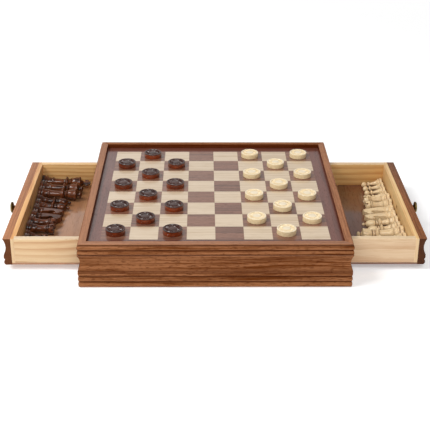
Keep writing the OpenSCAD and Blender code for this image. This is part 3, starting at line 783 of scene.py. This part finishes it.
sheet = result(lathe, "GeometryNodeMeshGrid", grid)
flat = parts_of(lathe, result(lathe, "GeometryNodeInputPosition"))
round_by = calc(lathe, "MULTIPLY", calc(lathe, "ADD", flat["X"], 0.5), 2 * math.pi)
row = calc(lathe, "MULTIPLY", calc(lathe, "ADD", flat["Y"], 0.5), calc(lathe, "SUBTRACT", rows, 1.0))
row = calc(lathe, "ROUND", row)
place = result(lathe, "GeometryNodeInputPosition")
cut = result(lathe, "GeometryNodeSampleIndex", {"Geometry": profile, "Value": place, "Index": row},
             data_type="FLOAT_VECTOR")
groove = result(lathe, "GeometryNodeInputNamedAttribute", {"Name": "hollow"}, data_type="FLOAT")
groove = result(lathe, "GeometryNodeSampleIndex", {"Geometry": profile, "Value": groove, "Index": row},
                data_type="FLOAT")
cut = parts_of(lathe, cut)
rolled = joined(lathe, X=calc(lathe, "MULTIPLY", cut["X"], calc(lathe, "COSINE", round_by)),
                Y=calc(lathe, "MULTIPLY", cut["X"], calc(lathe, "SINE", round_by)), Z=cut["Z"])
solid = result(lathe, "GeometryNodeStoreNamedAttribute", {
    "Geometry": sheet, "Name": "hollow", "Value": groove}, data_type="FLOAT", domain="POINT")
solid = result(lathe, "GeometryNodeSetPosition", {"Geometry": solid, "Position": rolled})
solid = result(lathe, "GeometryNodeMergeByDistance", {"Geometry": solid, "Distance": 2 * MERGE})
print("turned_row spins with", len(lathe.nodes), "nodes")

# %% [markdown]
# ## Slots and carved parts
#
# A rook's battlements, a bishop's mitre and a screw's slot are sawn after turning. One blade is repeated
# round the axis, and a Boolean takes all of its copies away at once. A second Boolean glues on what is
# carved, such as a horse's head. Two switches leave both out where a piece has neither.

# %% The same tree: saw the slots and glue on a carved part
blade = result(lathe, "GeometryNodeMeshCube", {"Size": given["Slot Size"]})
blade = result(lathe, "GeometryNodeTransform", {
    "Geometry": blade, "Translation": given["Slot Place"], "Rotation": joined(lathe, Y=given["Slot Tilt"])})
apart = calc(lathe, "DIVIDE", 2 * math.pi, calc(lathe, "MAXIMUM", given["Slots"], 1.0))
bearing = calc(lathe, "MULTIPLY", result(lathe, "GeometryNodeInputIndex"), apart)
blades = result(lathe, "GeometryNodeInstanceOnPoints", {
    "Points": result(lathe, "GeometryNodePoints", {"Count": given["Slots"]}), "Instance": blade,
    "Rotation": joined(lathe, Z=bearing)})
blades = result(lathe, "GeometryNodeRealizeInstances", {"Geometry": blades})
sawn = result(lathe, "GeometryNodeMeshBoolean", {"Mesh 1": solid, "Mesh 2": blades}, operation="DIFFERENCE",
              solver="EXACT")
has_slots = calc(lathe, "GREATER_THAN", given["Slots"], 0.5)
shaped = result(lathe, "GeometryNodeSwitch", {"Switch": has_slots, "False": solid, "True": sawn},
                input_type="GEOMETRY")
carved = result(lathe, "GeometryNodeObjectInfo", {"Object": given["Carved Part"]}, "Geometry")
union = add(lathe, "GeometryNodeMeshBoolean", {"Mesh 2": shaped}, operation="UNION", solver="EXACT")
lathe.links.new(carved, union.inputs["Mesh 2"])
carved_points = result(lathe, "GeometryNodeAttributeDomainSize", {"Geometry": carved}, "Point Count")
has_carving = calc(lathe, "GREATER_THAN", carved_points, 0.5)
whole = result(lathe, "GeometryNodeSwitch", {
    "Switch": has_carving, "False": shaped, "True": union.outputs[0]}, input_type="GEOMETRY")
turn_of_edge = result(lathe, "GeometryNodeInputMeshEdgeAngle", out="Unsigned Angle")
soft = calc(lathe, "LESS_THAN", turn_of_edge, given["Sharp Above"])
smooth = result(lathe, "GeometryNodeSetShadeSmooth", {"Geometry": whole, "Shade Smooth": soft}, domain="EDGE")
print("turned_row now has", len(lathe.nodes), "nodes")

# %% [markdown]
# ## A row of copies
#
# Men of one kind lie in a row, but nobody lays them all the same way up. The tree places the copies at an
# even pitch, lays each one down, and spins each about its own axis by a random angle within a range. The
# seed is fixed, so that they lie the same way every time. The last two nodes turn the copies into real
# faces and give them their finish.


# %% The same tree: lay out the row
def dress(tree, instances, material, made):
    """Ends a tree: makes its copies real and gives them their finish."""
    real = result(tree, "GeometryNodeRealizeInstances", {"Geometry": instances})
    dressed = result(tree, "GeometryNodeSetMaterial", {"Geometry": real, "Material": material})
    hand_out(tree, made, Geometry=dressed)


places = result(lathe, "GeometryNodeMeshLine", {
    "Count": given["Copies"], "Start Location": given["First"], "Offset": joined(lathe, Y=given["Pitch"]),
}, mode="OFFSET")
copies = result(lathe, "GeometryNodeInstanceOnPoints", {
    "Points": places, "Instance": smooth, "Rotation": given["Lie"]})
least = calc(lathe, "SUBTRACT", given["Spin"], given["Spin Range"])
most = calc(lathe, "ADD", given["Spin"], given["Spin Range"])
spin_range = {2: least, 3: most, "Seed": given["Seed"]}
spin = result(lathe, "FunctionNodeRandomValue", spin_range, 1, data_type="FLOAT")
spun = result(lathe, "GeometryNodeRotateInstances", {
    "Instances": copies, "Rotation": joined(lathe, Z=spin), "Local Space": True})
dress(lathe, spun, given["Material"], made)
print("turned_row is done, with", len(lathe.nodes), "nodes")


# %% Run a tree and keep a plain mesh
def evaluated_mesh(thing):
    """The plain mesh that an object's modifiers make."""
    bpy.context.view_layer.update()
    return bpy.data.meshes.new_from_object(thing.evaluated_get(bpy.context.evaluated_depsgraph_get()))


def grown(name, mesh, tree, **inputs):
    """The plain mesh that a Geometry Nodes tree makes from a mesh, given its inputs by name."""
    maker = put(name, mesh)
    modifier = maker.modifiers.new(name, "NODES")
    modifier.node_group = tree
    sockets = {item.name: item.identifier for item in tree.interface.items_tree if item.in_out == "INPUT"}
    for label, value in inputs.items():
        modifier[sockets[label.replace("_", " ")]] = value
    plain = evaluated_mesh(maker)
    maker.modifiers.clear()
    bpy.data.objects.remove(maker)
    shape = bmesh.new()
    shape.from_mesh(plain)
    bmesh.ops.remove_doubles(shape, verts=shape.verts, dist=MERGE)
    bmesh.ops.recalc_face_normals(shape, faces=shape.faces)
    shape.to_mesh(plain)
    shape.free()
    plain.name = name
    return plain


# %% [markdown]
# ## The knobs
#
# Each drawer has one small brass knob: a foot, a neck that flares out and a low domed disc, held by a screw
# from inside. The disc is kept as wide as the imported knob, and the domed face gets a shallow ring. The
# screw gets a slotted countersunk head, which shows between the chessmen.


# %% Profiles of a knob and of its screw
def knob_profile(r, end):
    """A foot with a bead, a neck, and a disc of radius r with a ring round its dome, whose top is at end."""
    neck, throat = 2.7, (6.4, end - 4.5)
    return (
        [(0, 0.2), (4.4, 0.2), (4.6, 0.4), (4.6, 1.6)] + bead(4.0, 1.7, 2.9, 0.5)
        + sweep((3.9, 3.0), (neck + 0.05, 4.4), (neck, end - 7.4))
        + sweep((neck, end - 7.2), (3.0, end - 5.2), throat)
        + sweep(throat, (r - 0.2, end - 4.1), (r, end - 3.3)) + [(r, end - 2.4)]
        + sweep((r, end - 2.2), (r - 0.2, end - 1.2), (r - 1.4, end - 0.9))
        + [(r - 1.8, end - 1.05), (r - 2.2, end - 0.8)] + sweep((r - 2.3, end - 0.75), (3.0, end), (0, end))
    )


def screw_profile(head, end):
    """A countersunk head of radius head, on a shank with a short point at end."""
    shank = 2.0
    return [(0, 0), (0.55 * head, 0), (0.95 * head, 0.2), (head, 0.35), (shank, head - shank + 0.35),
            (shank, end - 1), (shank - 0.8, end), (0, end)]


# %% Turn the knobs and the screws
screw_low, screw_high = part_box("left_knob_screw")
SCREW_SLOT = Vector((1.5 * (screw_high.y - screw_low.y), 0.9 * MM, 2.2 * MM))


def fitting(side, part, profile, finish, slot, **settings):
    """Turns a drawer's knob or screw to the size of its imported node, with its foot towards the case."""
    node = f"{side}_{part}"
    outwards = 1 if side == "right" else -1
    low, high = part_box(node)
    radius, length = (high.y - low.y) / 2 / MM, (high.x - low.x) / MM
    foot = (low + high) / 2
    foot.x = low.x if outwards > 0 else high.x
    turned = grown(node + "_turned", profile_mesh(profile(radius, length)), lathe, First=foot,
                   Lie=(0, math.radians(90 * outwards), 0), Material=finish, **settings)
    finished_object(node + "_turned", turned, side + "_drawer", slot, node)
    return f"{node} is {2 * radius:.1f} mm across and {length:.1f} mm long"


for side, slot_turn in (("left", -35), ("right", 35)):
    print(fitting(side, "knob", knob_profile, knob_brass, "aged_brass", Segments=64))
    print(fitting(side, "knob_screw", screw_profile, screw_brass, "screw_brass", Segments=32, Slots=1,
                  Slot_Size=SCREW_SLOT, Spin=math.radians(slot_turn)))

# %% [markdown]
# ## The draughtsmen
#
# A draughtsman is a turned disc whose face is pressed: a plain rim, then a band of short radial flutes
# round a flat middle. The disc comes from the lathe. A second tree presses the flutes, by moving the points
# of that band up and down with the angle, and sets twelve copies out on the squares of one colour, four in
# each of three columns.

# %% A Geometry Nodes tree: press the flutes
FLUTES = 24
FLUTE_DEPTH = 0.8 * MM

setter, given, made = new_group("set_out_on_board", "GeometryNodeTree", [
    ("Disc", "Geometry", None), ("Flutes", "Int", FLUTES), ("Flute Depth", "Float", FLUTE_DEPTH),
    ("Band Inside", "Float", 6.9 * MM), ("Band Outside", "Float", 10.5 * MM),
    ("Face Height", "Float", 6.6 * MM), ("Square", "Float", SQUARE),
    ("Near Left Corner", "Vector", (0, 0, 0)), ("First Column", "Int", 0), ("Seed", "Int", 0),
    ("Material", "Material", None),
], [("Geometry", "Geometry")])
here = parts_of(setter, result(setter, "GeometryNodeInputPosition"))
squares = [calc(setter, "MULTIPLY", here[axis], here[axis]) for axis in ("X", "Y")]
reach = calc(setter, "SQRT", calc(setter, "ADD", *squares))
bearing = calc(setter, "ARCTAN2", here["Y"], here["X"])
wave = calc(setter, "COSINE", calc(setter, "MULTIPLY", bearing, given["Flutes"]))
band = calc(setter, "MULTIPLY", calc(setter, "GREATER_THAN", reach, given["Band Inside"]),
            calc(setter, "LESS_THAN", reach, given["Band Outside"]))
pressed = calc(setter, "MULTIPLY", band, calc(setter, "GREATER_THAN", here["Z"], given["Face Height"]))
half_depth = calc(setter, "MULTIPLY", given["Flute Depth"], 0.5)
depth = calc(setter, "MULTIPLY", calc(setter, "SUBTRACT", wave, 1.0), half_depth)
down = joined(setter, Z=calc(setter, "MULTIPLY", pressed, depth))
fluted = result(setter, "GeometryNodeSetPosition", {"Geometry": given["Disc"], "Offset": down})
print("set_out_on_board presses with", len(setter.nodes), "nodes")

# %% The same tree: set the men out on their squares
MEN = 12
MEN_IN_COLUMN = 4.0
number = result(setter, "GeometryNodeInputIndex")
column = calc(setter, "ADD", calc(setter, "FLOOR", calc(setter, "DIVIDE", number, MEN_IN_COLUMN)),
              given["First Column"])
in_column = calc(setter, "MULTIPLY", calc(setter, "MODULO", number, MEN_IN_COLUMN), 2.0)
rank = calc(setter, "ADD", in_column, calc(setter, "MODULO", column, 2.0))
middle = {axis: calc(setter, "MULTIPLY", calc(setter, "ADD", count, 0.5), given["Square"])
          for axis, count in (("X", column), ("Y", rank))}
spot = vector_calc(setter, "ADD", joined(setter, **middle), given["Near Left Corner"])
spots = result(setter, "GeometryNodePoints", {"Count": MEN})
spots = result(setter, "GeometryNodeSetPosition", {"Geometry": spots, "Position": spot})
any_turn = {2: 0.0, 3: 2 * math.pi, "Seed": given["Seed"]}
spin = result(setter, "FunctionNodeRandomValue", any_turn, 1, data_type="FLOAT")
men = result(setter, "GeometryNodeInstanceOnPoints", {
    "Points": spots, "Instance": fluted, "Rotation": joined(setter, Z=spin)})
dress(setter, men, given["Material"], made)
print("set_out_on_board is done, with", len(setter.nodes), "nodes")


# %% Turn one disc and set both sides out
def disc_profile(r, t):
    """A disc of radius r and thickness t: a fine line round its edge, a rim, a band for flutes, a boss."""
    return (
        [(0, 0.5), (r - 3, 0.5), (r - 2.6, 0), (r - 0.7, 0)] + sweep((r - 0.6, 0), (r, 0), (r, 0.6), 4)
        + sweep((r, t * 0.48), (r - 0.25, t * 0.5), (r, t * 0.52), 4)
        + sweep((r, t - 0.6), (r, t), (r - 0.6, t), 4)
        + [(r - 1.9, t), (r - 2.3, t - 0.55), (r - 2.7, t - 0.55)]
        + [(r - 3.1, t - 0.15), (r - 3.6, t - 0.1), (r - 5.2, t - 0.1), (r - 6.8, t - 0.1)]
        + [(r - 7.3, t - 0.15), (r - 7.7, t - 0.55), (r - 8.1, t - 0.55)]
        + sweep((r - 8.5, t - 0.3), (3.0, t - 0.05), (0, t - 0.05), 6)
    )


man_low, man_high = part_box("dark_draughtsmen")
board_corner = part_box("dark_squares")[0]
man_t = (man_high.z - man_low.z) / MM
man_r = (man_high.x - man_low.x) / 2 / MM - SQUARE / MM
disc = grown("disc", profile_mesh(disc_profile(man_r, man_t)), lathe, Segments=140, Material=dark_disc)
for colour, column, finish in (("dark", 0, dark_disc), ("light", 5, clear_disc)):
    men = grown(colour + "_draughtsmen_turned", disc.copy(), setter, Face_Height=(man_t - 1) * MM,
                Band_Inside=(man_r - 7.0) * MM, Band_Outside=(man_r - 3.4) * MM,
                Near_Left_Corner=Vector((board_corner.x, board_corner.y, man_low.z)),
                First_Column=column, Seed=column, Material=finish)
    finished_object(colour + "_draughtsmen_turned", men, colour + "_draughtsmen", colour + "_draughtsman",
                    colour + "_draughtsmen")
    print(colour, "draughtsmen:", len(men.polygons), "faces")

# %% [markdown]
# ## The chessmen's profiles
#
# All six kinds start with the same foot: a straight rim, a groove and a bead. Above it each has its own
# members: a ring low on the stem, a collar, a neck and a head. They are written as shares of the base's
# radius r and of the height h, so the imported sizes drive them.

# %% The foot
RIM = 0.22


def foot_of(r, pull, end):
    """The foot that every chessman has, up to its bead, and the start of the stem, which ends at end."""
    return (
        [(0, 0.05 * r), (0.7 * r, 0.05 * r), (0.74 * r, 0), (0.95 * r, 0)]
        + sweep((0.96 * r, 0), (r, 0), (r, 0.06 * r), 3)
        + sweep((r, RIM * r), (r, 0.36 * r), (0.85 * r, 0.42 * r), 5) + [(0.84 * r, 0.5 * r)]
        + bead(0.84 * r, 0.53 * r, 0.77 * r, 0.07 * r) + sweep((0.74 * r, 0.82 * r), pull, end, 5)
    )


# %% The short men: pawn, rook and the knight's pedestal
def pawn_profile(r, h):
    """A cone, a bead right under the ball, and the ball."""
    ball = 0.56 * r
    return (
        foot_of(r, (0.62 * r, 0.22 * h), (0.6 * r, 0.26 * h))
        + bead(0.56 * r, 0.265 * h, 0.3 * h, 0.06 * r, 5)
        + sweep((0.54 * r, 0.31 * h), (0.34 * r, 0.4 * h), (0.32 * r, 0.57 * h))
        + bead(0.3 * r, 0.595 * h, 0.7 * h, 0.21 * r) + globe(ball, h - ball, -62)
    )


def rook_profile(r, h):
    """A waisted tower with a hollow top."""
    return (
        foot_of(r, (0.66 * r, 0.28 * h), (0.64 * r, 0.33 * h))
        + bead(0.6 * r, 0.335 * h, 0.38 * h, 0.09 * r, 6)
        + sweep((0.58 * r, 0.39 * h), (0.42 * r, 0.52 * h), (0.56 * r, 0.68 * h))
        + bead(0.58 * r, 0.685 * h, 0.73 * h, 0.08 * r, 6) + [(0.58 * r, 0.745 * h)]
        + bead(0.62 * r, 0.75 * h, 0.8 * h, 0.12 * r, 6) + [(0.66 * r, 0.81 * h)]
        + sweep((0.7 * r, 0.825 * h), (0.79 * r, 0.83 * h), (0.79 * r, 0.87 * h), 4)
        + [(0.8 * r, 0.98 * h), (0.77 * r, h), (0.57 * r, h), (0.54 * r, 0.98 * h)]
        + [(0.5 * r, 0.89 * h), (0, 0.88 * h)]
    )


def knight_profile(r, h):
    """Only the pedestal is turned: the horse's head is carved."""
    return (
        foot_of(r, (0.64 * r, 0.22 * h), (0.62 * r, 0.25 * h))
        + bead(0.62 * r, 0.255 * h, 0.31 * h, 0.12 * r, 6) + [(0.6 * r, 0.33 * h), (0, 0.33 * h)]
    )


# %% [markdown]
# ## The tall men
#
# Bishop, queen and king share one plan: a slender stem, a wide collar with a ring over it, and a head. What
# tells them apart from a distance is the head: a mitre with a knop, a crown with a ball, and a cross.


# %% The tall men: bishop, queen and king
def bishop_profile(r, h):
    """A slender stem, a wide collar, and a mitre with a small knop."""
    knop = 0.25 * r
    return (
        foot_of(r, (0.58 * r, 0.2 * h), (0.56 * r, 0.24 * h))
        + bead(0.54 * r, 0.245 * h, 0.28 * h, 0.09 * r, 6)
        + sweep((0.52 * r, 0.29 * h), (0.4 * r, 0.34 * h), (0.38 * r, 0.44 * h))
        + sweep((0.4 * r, 0.45 * h), (0.44 * r, 0.475 * h), (0.68 * r, 0.48 * h), 4)
        + bead(0.68 * r, 0.482 * h, 0.512 * h, 0.05 * r, 6) + [(0.52 * r, 0.525 * h), (0.4 * r, 0.55 * h)]
        + bead(0.4 * r, 0.575 * h, 0.61 * h, 0.12 * r, 6)
        + sweep((0.42 * r, 0.625 * h), (0.6 * r, 0.65 * h), (0.62 * r, 0.74 * h))
        + sweep((0.62 * r, 0.75 * h), (0.6 * r, 0.86 * h), (0.17 * r, 0.905 * h))
        + globe(knop, h - knop, -45, 8)
    )


def queen_profile(r, h):
    """A tall stem, a collar, a barrel that widens to the crown's rim, and a flattened ball."""
    ball = [(1.5 * reach, height) for reach, height in globe(0.26 * r, h - 0.26 * r, -55, 8)]
    return (
        foot_of(r, (0.66 * r, 0.18 * h), (0.64 * r, 0.205 * h))
        + bead(0.62 * r, 0.21 * h, 0.25 * h, 0.1 * r, 6)
        + sweep((0.6 * r, 0.26 * h), (0.5 * r, 0.32 * h), (0.48 * r, 0.5 * h))
        + sweep((0.5 * r, 0.51 * h), (0.54 * r, 0.53 * h), (0.77 * r, 0.535 * h), 4)
        + bead(0.77 * r, 0.537 * h, 0.567 * h, 0.06 * r, 6) + [(0.6 * r, 0.58 * h), (0.48 * r, 0.6 * h)]
        + bead(0.48 * r, 0.63 * h, 0.66 * h, 0.15 * r, 6)
        + sweep((0.56 * r, 0.67 * h), (0.72 * r, 0.69 * h), (0.75 * r, 0.805 * h))
        + bead(0.74 * r, 0.82 * h, 0.865 * h, 0.08 * r, 6)
        + sweep((0.7 * r, 0.87 * h), (0.4 * r, 0.875 * h), (0.24 * r, 0.905 * h), 6) + ball
    )


def king_profile(r, h):
    """Like the queen, with a shorter stem; the cross on top is carved."""
    return (
        foot_of(r, (0.66 * r, 0.17 * h), (0.64 * r, 0.2 * h))
        + bead(0.62 * r, 0.205 * h, 0.245 * h, 0.1 * r, 6)
        + sweep((0.6 * r, 0.255 * h), (0.5 * r, 0.31 * h), (0.5 * r, 0.46 * h))
        + sweep((0.52 * r, 0.47 * h), (0.56 * r, 0.492 * h), (0.8 * r, 0.495 * h), 4)
        + bead(0.8 * r, 0.497 * h, 0.527 * h, 0.06 * r, 6) + [(0.62 * r, 0.54 * h), (0.5 * r, 0.56 * h)]
        + bead(0.5 * r, 0.58 * h, 0.607 * h, 0.16 * r, 6)
        + sweep((0.58 * r, 0.615 * h), (0.76 * r, 0.64 * h), (0.8 * r, 0.745 * h))
        + bead(0.78 * r, 0.76 * h, 0.8 * h, 0.08 * r, 6)
        + sweep((0.74 * r, 0.805 * h), (0.42 * r, 0.81 * h), (0.3 * r, 0.85 * h), 6)
        + [(0.2 * r, 0.865 * h), (0, 0.865 * h)]
    )


# %% [markdown]
# ## The carved parts
#
# A king's cross and a knight's head aren't turned. Both are sawn from flat stock and then rounded at the
# edges, so each is an outline with a thickness. The horse is then cut with small tools: a saw for the mouth
# and the locks of the mane, and a drill for the eye and the nostril. Each tool is a plain shape, and one
# Boolean takes them all away at once.


# %% A slab with rounded edges, and tools that cut it
def slab(name, outline, thickness, ease):
    """A closed outline of X and Z in millimetres, made thick along Y, with both of its rims rounded."""
    shape = bmesh.new()
    corners = [shape.verts.new((x * MM, -thickness / 2 * MM, z * MM)) for x, z in outline]
    grown_part = bmesh.ops.extrude_face_region(shape, geom=[shape.faces.new(corners)])["geom"]
    far = [item for item in grown_part if isinstance(item, bmesh.types.BMVert)]
    bmesh.ops.translate(shape, vec=(0, thickness * MM, 0), verts=far)
    rims = [edge for edge in shape.edges if abs(edge.verts[0].co.y - edge.verts[1].co.y) < 0.01 * MM]
    bmesh.ops.bevel(shape, geom=rims, offset=ease * MM, segments=3, profile=0.5, affect="EDGES",
                    clamp_overlap=False)
    bmesh.ops.recalc_face_normals(shape, faces=shape.faces)
    mesh = bpy.data.meshes.new(name)
    shape.to_mesh(mesh)
    shape.free()
    return mesh


def cut_away(name, mesh, tools):
    """The mesh without what the tools take. All the tools are in one bmesh, which this frees."""
    cutter_mesh = bpy.data.meshes.new(name + "_tools")
    tools.to_mesh(cutter_mesh)
    tools.free()
    cutter, work = put(name + "_tools", cutter_mesh), put(name, mesh)
    modifier = work.modifiers.new("cut", "BOOLEAN")
    modifier.operation = "DIFFERENCE"
    modifier.solver = "EXACT"
    modifier.object = cutter
    carved_mesh = evaluated_mesh(work)
    for piece in (cutter, work):
        bpy.data.objects.remove(piece)
    return carved_mesh


# %% The king's cross
def cross_mesh(r, h):
    """A small cross whose arms widen towards their ends."""
    right = [
        (0.26 * r, 0.845 * h), (0.17 * r, 0.88 * h), (0.17 * r, 0.9 * h), (0.42 * r, 0.885 * h),
        (0.42 * r, 0.965 * h), (0.18 * r, 0.945 * h), (0.17 * r, 0.955 * h), (0.26 * r, h),
    ]
    return slab("cross", right + [(-x, z) for x, z in reversed(right)], 0.4 * r, 0.4)


# %% The knight's head, in shares of the base's radius and of the head's height
HEAD_THICK = 0.96
HEAD_RESTS_AT = 0.94
NECK_FROM = 0.3
MANE_CUT = dict(long=0.3, wide=0.05, angle=0.5)
MOUTH_CUT = dict(long=0.5, wide=0.06, angle=-0.1)
MOUTH = (0.92, 0.64)
EYE = (0.22, 0.79, 0.1)
NOSTRIL = (0.84, 0.72, 0.05)


def horse_mesh(r, h):
    """A horse's head with an arched neck; its muzzle points along X."""
    low, tall = NECK_FROM * h, (1 - NECK_FROM) * h
    crest = sweep((-0.52, 0.93), (-0.72, 0.86), (-0.74, 0.34), 12)
    shares = (
        sweep((0.6, 0.0), (0.5, 0.2), (0.12, 0.42), 6) + [(0.06, 0.5), (0.1, 0.55)]
        + sweep((0.2, 0.6), (0.5, 0.62), (0.76, 0.54), 5) + sweep((0.84, 0.52), (0.98, 0.56), (0.98, 0.66), 4)
        + sweep((0.97, 0.72), (0.8, 0.8), (0.62, 0.82), 3) + sweep((0.5, 0.84), (0.3, 0.93), (0.0, 0.95), 4)
        + [(-0.12, 0.9), (-0.22, 0.93), (-0.36, 1.0), (-0.44, 0.97)]
        + crest + sweep((-0.74, 0.3), (-0.72, 0.1), (-0.62, 0.0), 4)
    )
    head = slab("horse", [(x * r, low + z * tall) for x, z in shares], HEAD_THICK * r, 0.08 * r)
    tools = bmesh.new()

    def saw_cut(x, z, long, wide, angle):
        """A cut through the whole thickness, centred at x and z, turned by angle."""
        turn = Matrix.Rotation(angle, 4, "Y")
        size = Matrix.Diagonal((long * r * MM, 3 * r * MM, wide * r * MM, 1))
        place = Matrix.Translation((x * r * MM, 0, (low + z * tall) * MM))
        bmesh.ops.create_cube(tools, size=1, matrix=place @ turn @ size)

    for x, z in crest[2:12]:
        saw_cut(x, z, **MANE_CUT)
    saw_cut(*MOUTH, **MOUTH_CUT)
    for side in (-1, 1):
        for x, z, wide in (EYE, NOSTRIL):
            place = Matrix.Translation((x * r * MM, side * HEAD_THICK / 2 * r * MM, (low + z * tall) * MM))
            bmesh.ops.create_cone(tools, cap_ends=True, segments=12, radius1=wide * r * MM,
                                  radius2=wide * r * MM, depth=0.1 * r * MM,
                                  matrix=place @ Matrix.Rotation(math.pi / 2, 4, "X"))
    return cut_away("horse", head, tools)


# %% [markdown]
# ## Laying the chessmen down
#
# In its drawer a chessman lies on two points: the rim of its foot and the widest part of its head. So its
# axis leans by an angle that follows from its profile. Each packed row says how wide and long its men are,
# and where their feet stand. From that the profile, the lean and the place of the first man follow, and the
# tree repeats it. A horse lies on the side of its head, so its lean comes from the slab and not from the
# profile.

# %% How each row is made
MEN_GAP = 0.3
ROWS = {
    "king": dict(count=1, profile=king_profile, carve=cross_mesh, spin=-38, spin_range=6),
    "queens": dict(count=2, profile=queen_profile),
    "bishops": dict(count=2, profile=bishop_profile, slots=1, spin=120, spin_range=30),
    "knights": dict(count=2, profile=knight_profile, carve=horse_mesh, spin=-90, spin_range=3),
    "rooks": dict(count=2, profile=rook_profile, slots=6),
    "pawns": dict(count=4, profile=pawn_profile),
    "inner_pawns": dict(count=4, profile=pawn_profile),
}


def saw_settings(kind, r, h):
    """The size, place and tilt of the saw's slots, for the kinds that have them."""
    if kind == "rooks":
        return {"Slot_Size": Vector((0.5 * r, 0.24 * r, 0.16 * h)) * MM,
                "Slot_Place": Vector((0.7 * r, 0, h)) * MM}
    if kind == "bishops":
        return {"Slot_Size": Vector((0.9 * r, 2 * r, 0.07 * r)) * MM, "Slot_Tilt": math.radians(-35),
                "Slot_Place": Vector((0.62 * r, 0, 0.8 * h)) * MM}
    return {}


def lean_of(outline, r):
    """How far the axis leans when the foot's rim and the head both touch the floor."""
    return min(math.atan2(r - reach, height - RIM * r) for reach, height in outline if height > r)


# %% Lay out every row
def lie_down(colour, kind, count, profile, carve=None, slots=0, spin=0, spin_range=90):
    """Makes one packed row of chessmen and lays it in its drawer."""
    node = f"{colour}_{kind}"
    low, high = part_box(node)
    # Dark heads point to the right and light ones to the left, but the inner pawns lie the other way round.
    heads = 1 if (colour == "dark") != (kind == "inner_pawns") else -1
    pitch = ((high.y - low.y) / MM + MEN_GAP) / count
    r = (pitch - MEN_GAP) / 2
    h = length = (high.x - low.x) / MM
    # The lean follows from the height and the height from the lean, so both are found in a few rounds.
    for _ in range(3):
        outline = profile(r, h)
        cheek = [(HEAD_THICK / 2 * r, HEAD_RESTS_AT * h)]
        lean = lean_of(cheek if carve is horse_mesh else outline, r)
        h = (length - r * math.sin(lean)) / math.cos(lean)
    up = max(reach * math.cos(lean) + height * math.sin(lean) for reach, height in outline)
    first = Vector((low.x if heads > 0 else high.x, low.y, low.z))
    first += Vector((heads * r * math.sin(lean), r, up)) * MM
    settings = saw_settings(kind, r, h)
    if carve:
        settings["Carved_Part"] = put("carved", carve(r, h))
    finish = dark_stain if colour == "dark" else clear_box
    row_mesh = grown(node + "_turned", profile_mesh(outline), lathe, Segments=40, Slots=slots, Copies=count,
                     First=first, Pitch=pitch * MM, Lie=(0, heads * (math.pi / 2 + lean), 0),
                     Spin=math.radians(spin), Spin_Range=math.radians(spin_range), Seed=len(node),
                     Material=finish, **settings)
    if carve:
        bpy.data.objects.remove(settings["Carved_Part"])
    finished_object(node + "_turned", row_mesh, body_of(node), colour + "_chessman", node)
    return f"{node}: base {2 * r:.1f} mm, {h:.1f} mm tall, leans {math.degrees(lean):.1f} degrees"


for colour in ("dark", "light"):
    for kind, row in ROWS.items():
        print(lie_down(colour, kind, **row))

# %% [markdown]
# ## Floor and light
#
# A set like this is pictured on seamless white. The floor is a white sheet that takes a soft shadow. It
# glows a little, and more towards its ends, and the sky is white at the horizon, so that nothing shows
# where it stops.
#
# A large lamp stands high at the left and a weaker one high in front. An even white sky could fill in the
# rest, but lacquer needs something to mirror, so the sky is a dim room with one bright wall at the back
# left, as a window would be. The wall puts a sheen on the board, and leaves the front of the box its
# colour.

# %% The floor
FLOOR_SIDE = 16.0
PAPER = (0.86, 0.86, 0.86, 1)
GLOW_NEAR, GLOW_FAR = 0.35, 1.0


def floor_material():
    """White paper that glows a little, and more from one metre to four metres away."""
    material, tree = new_material("white_floor")
    paper = result(tree, "ShaderNodeBsdfDiffuse", {"Color": PAPER})
    away = vector_calc(tree, "LENGTH", result(tree, "ShaderNodeTexCoord", out="Object"), out="Value")
    glow = result(tree, "ShaderNodeEmission", {"Strength": ramp(tree, away, 1.0, 4.0, GLOW_NEAR, GLOW_FAR)})
    both = result(tree, "ShaderNodeAddShader", {0: paper, 1: glow})
    add(tree, "ShaderNodeOutputMaterial", {"Surface": both})
    return material


half = FLOOR_SIDE / 2
floor_mesh = bpy.data.meshes.new("floor")
floor_mesh.from_pydata([(-half, -half, 0), (half, -half, 0), (half, half, 0), (-half, half, 0)], [],
                       [(0, 1, 2, 3)])
floor_mesh.materials.append(floor_material())
floor = put("floor", floor_mesh)
print("the floor is", FLOOR_SIDE, "m wide")


# %% The lamps
def softbox(name, place, side, power, aim=(0, 0, 0.03)):
    """A square lamp that faces the box."""
    data = bpy.data.lights.new(name, "AREA")
    data.size = side
    data.energy = power
    lamp = put(name, data)
    lamp.location = place
    lamp.rotation_euler = (Vector(aim) - Vector(place)).to_track_quat("-Z", "Y").to_euler()
    print(name, "lamp:", power, "W,", round(Vector(place).length, 1), "m away")


softbox("key", (-2.4, -0.9, 3.3), 1.6, 104)
softbox("fill", (0.3, -2.4, 2.7), 1.4, 50)

# %% The sky
ROOM_FRONT, ROOM_BACK = 0.16, 0.4
WALL_LIGHT = 0.48


def room_sky():
    """A room that is dimmer in front, with a bright wall at the back left and white at the horizon."""
    world = bpy.data.worlds.new("sky")
    world.use_nodes = True
    tree = world.node_tree
    tree.nodes.clear()
    ahead = parts_of(tree, result(tree, "ShaderNodeTexCoord", out="Generated"))
    wall = calc(tree, "MULTIPLY", ramp(tree, ahead["X"], 0.22, -0.22), ramp(tree, ahead["Y"], 0.0, 0.5))
    wall = calc(tree, "MULTIPLY", wall, ramp(tree, ahead["Z"], 0.85, 0.6))
    room = ramp(tree, ahead["Y"], 0.0, 0.5, ROOM_FRONT, ROOM_BACK)
    light = calc(tree, "MULTIPLY_ADD", wall, WALL_LIGHT, room)
    horizon = ramp(tree, ahead["Z"], 0.1, 0.2, 1.0, 0.0)
    light = calc(tree, "MAXIMUM", light, horizon)
    sky = result(tree, "ShaderNodeBackground", {"Color": (1, 1, 1, 1), "Strength": light})
    add(tree, "ShaderNodeOutputWorld", {"Surface": sky})
    return world


bpy.context.scene.world = room_sky()
bpy.context.scene.view_settings.view_transform = "Standard"
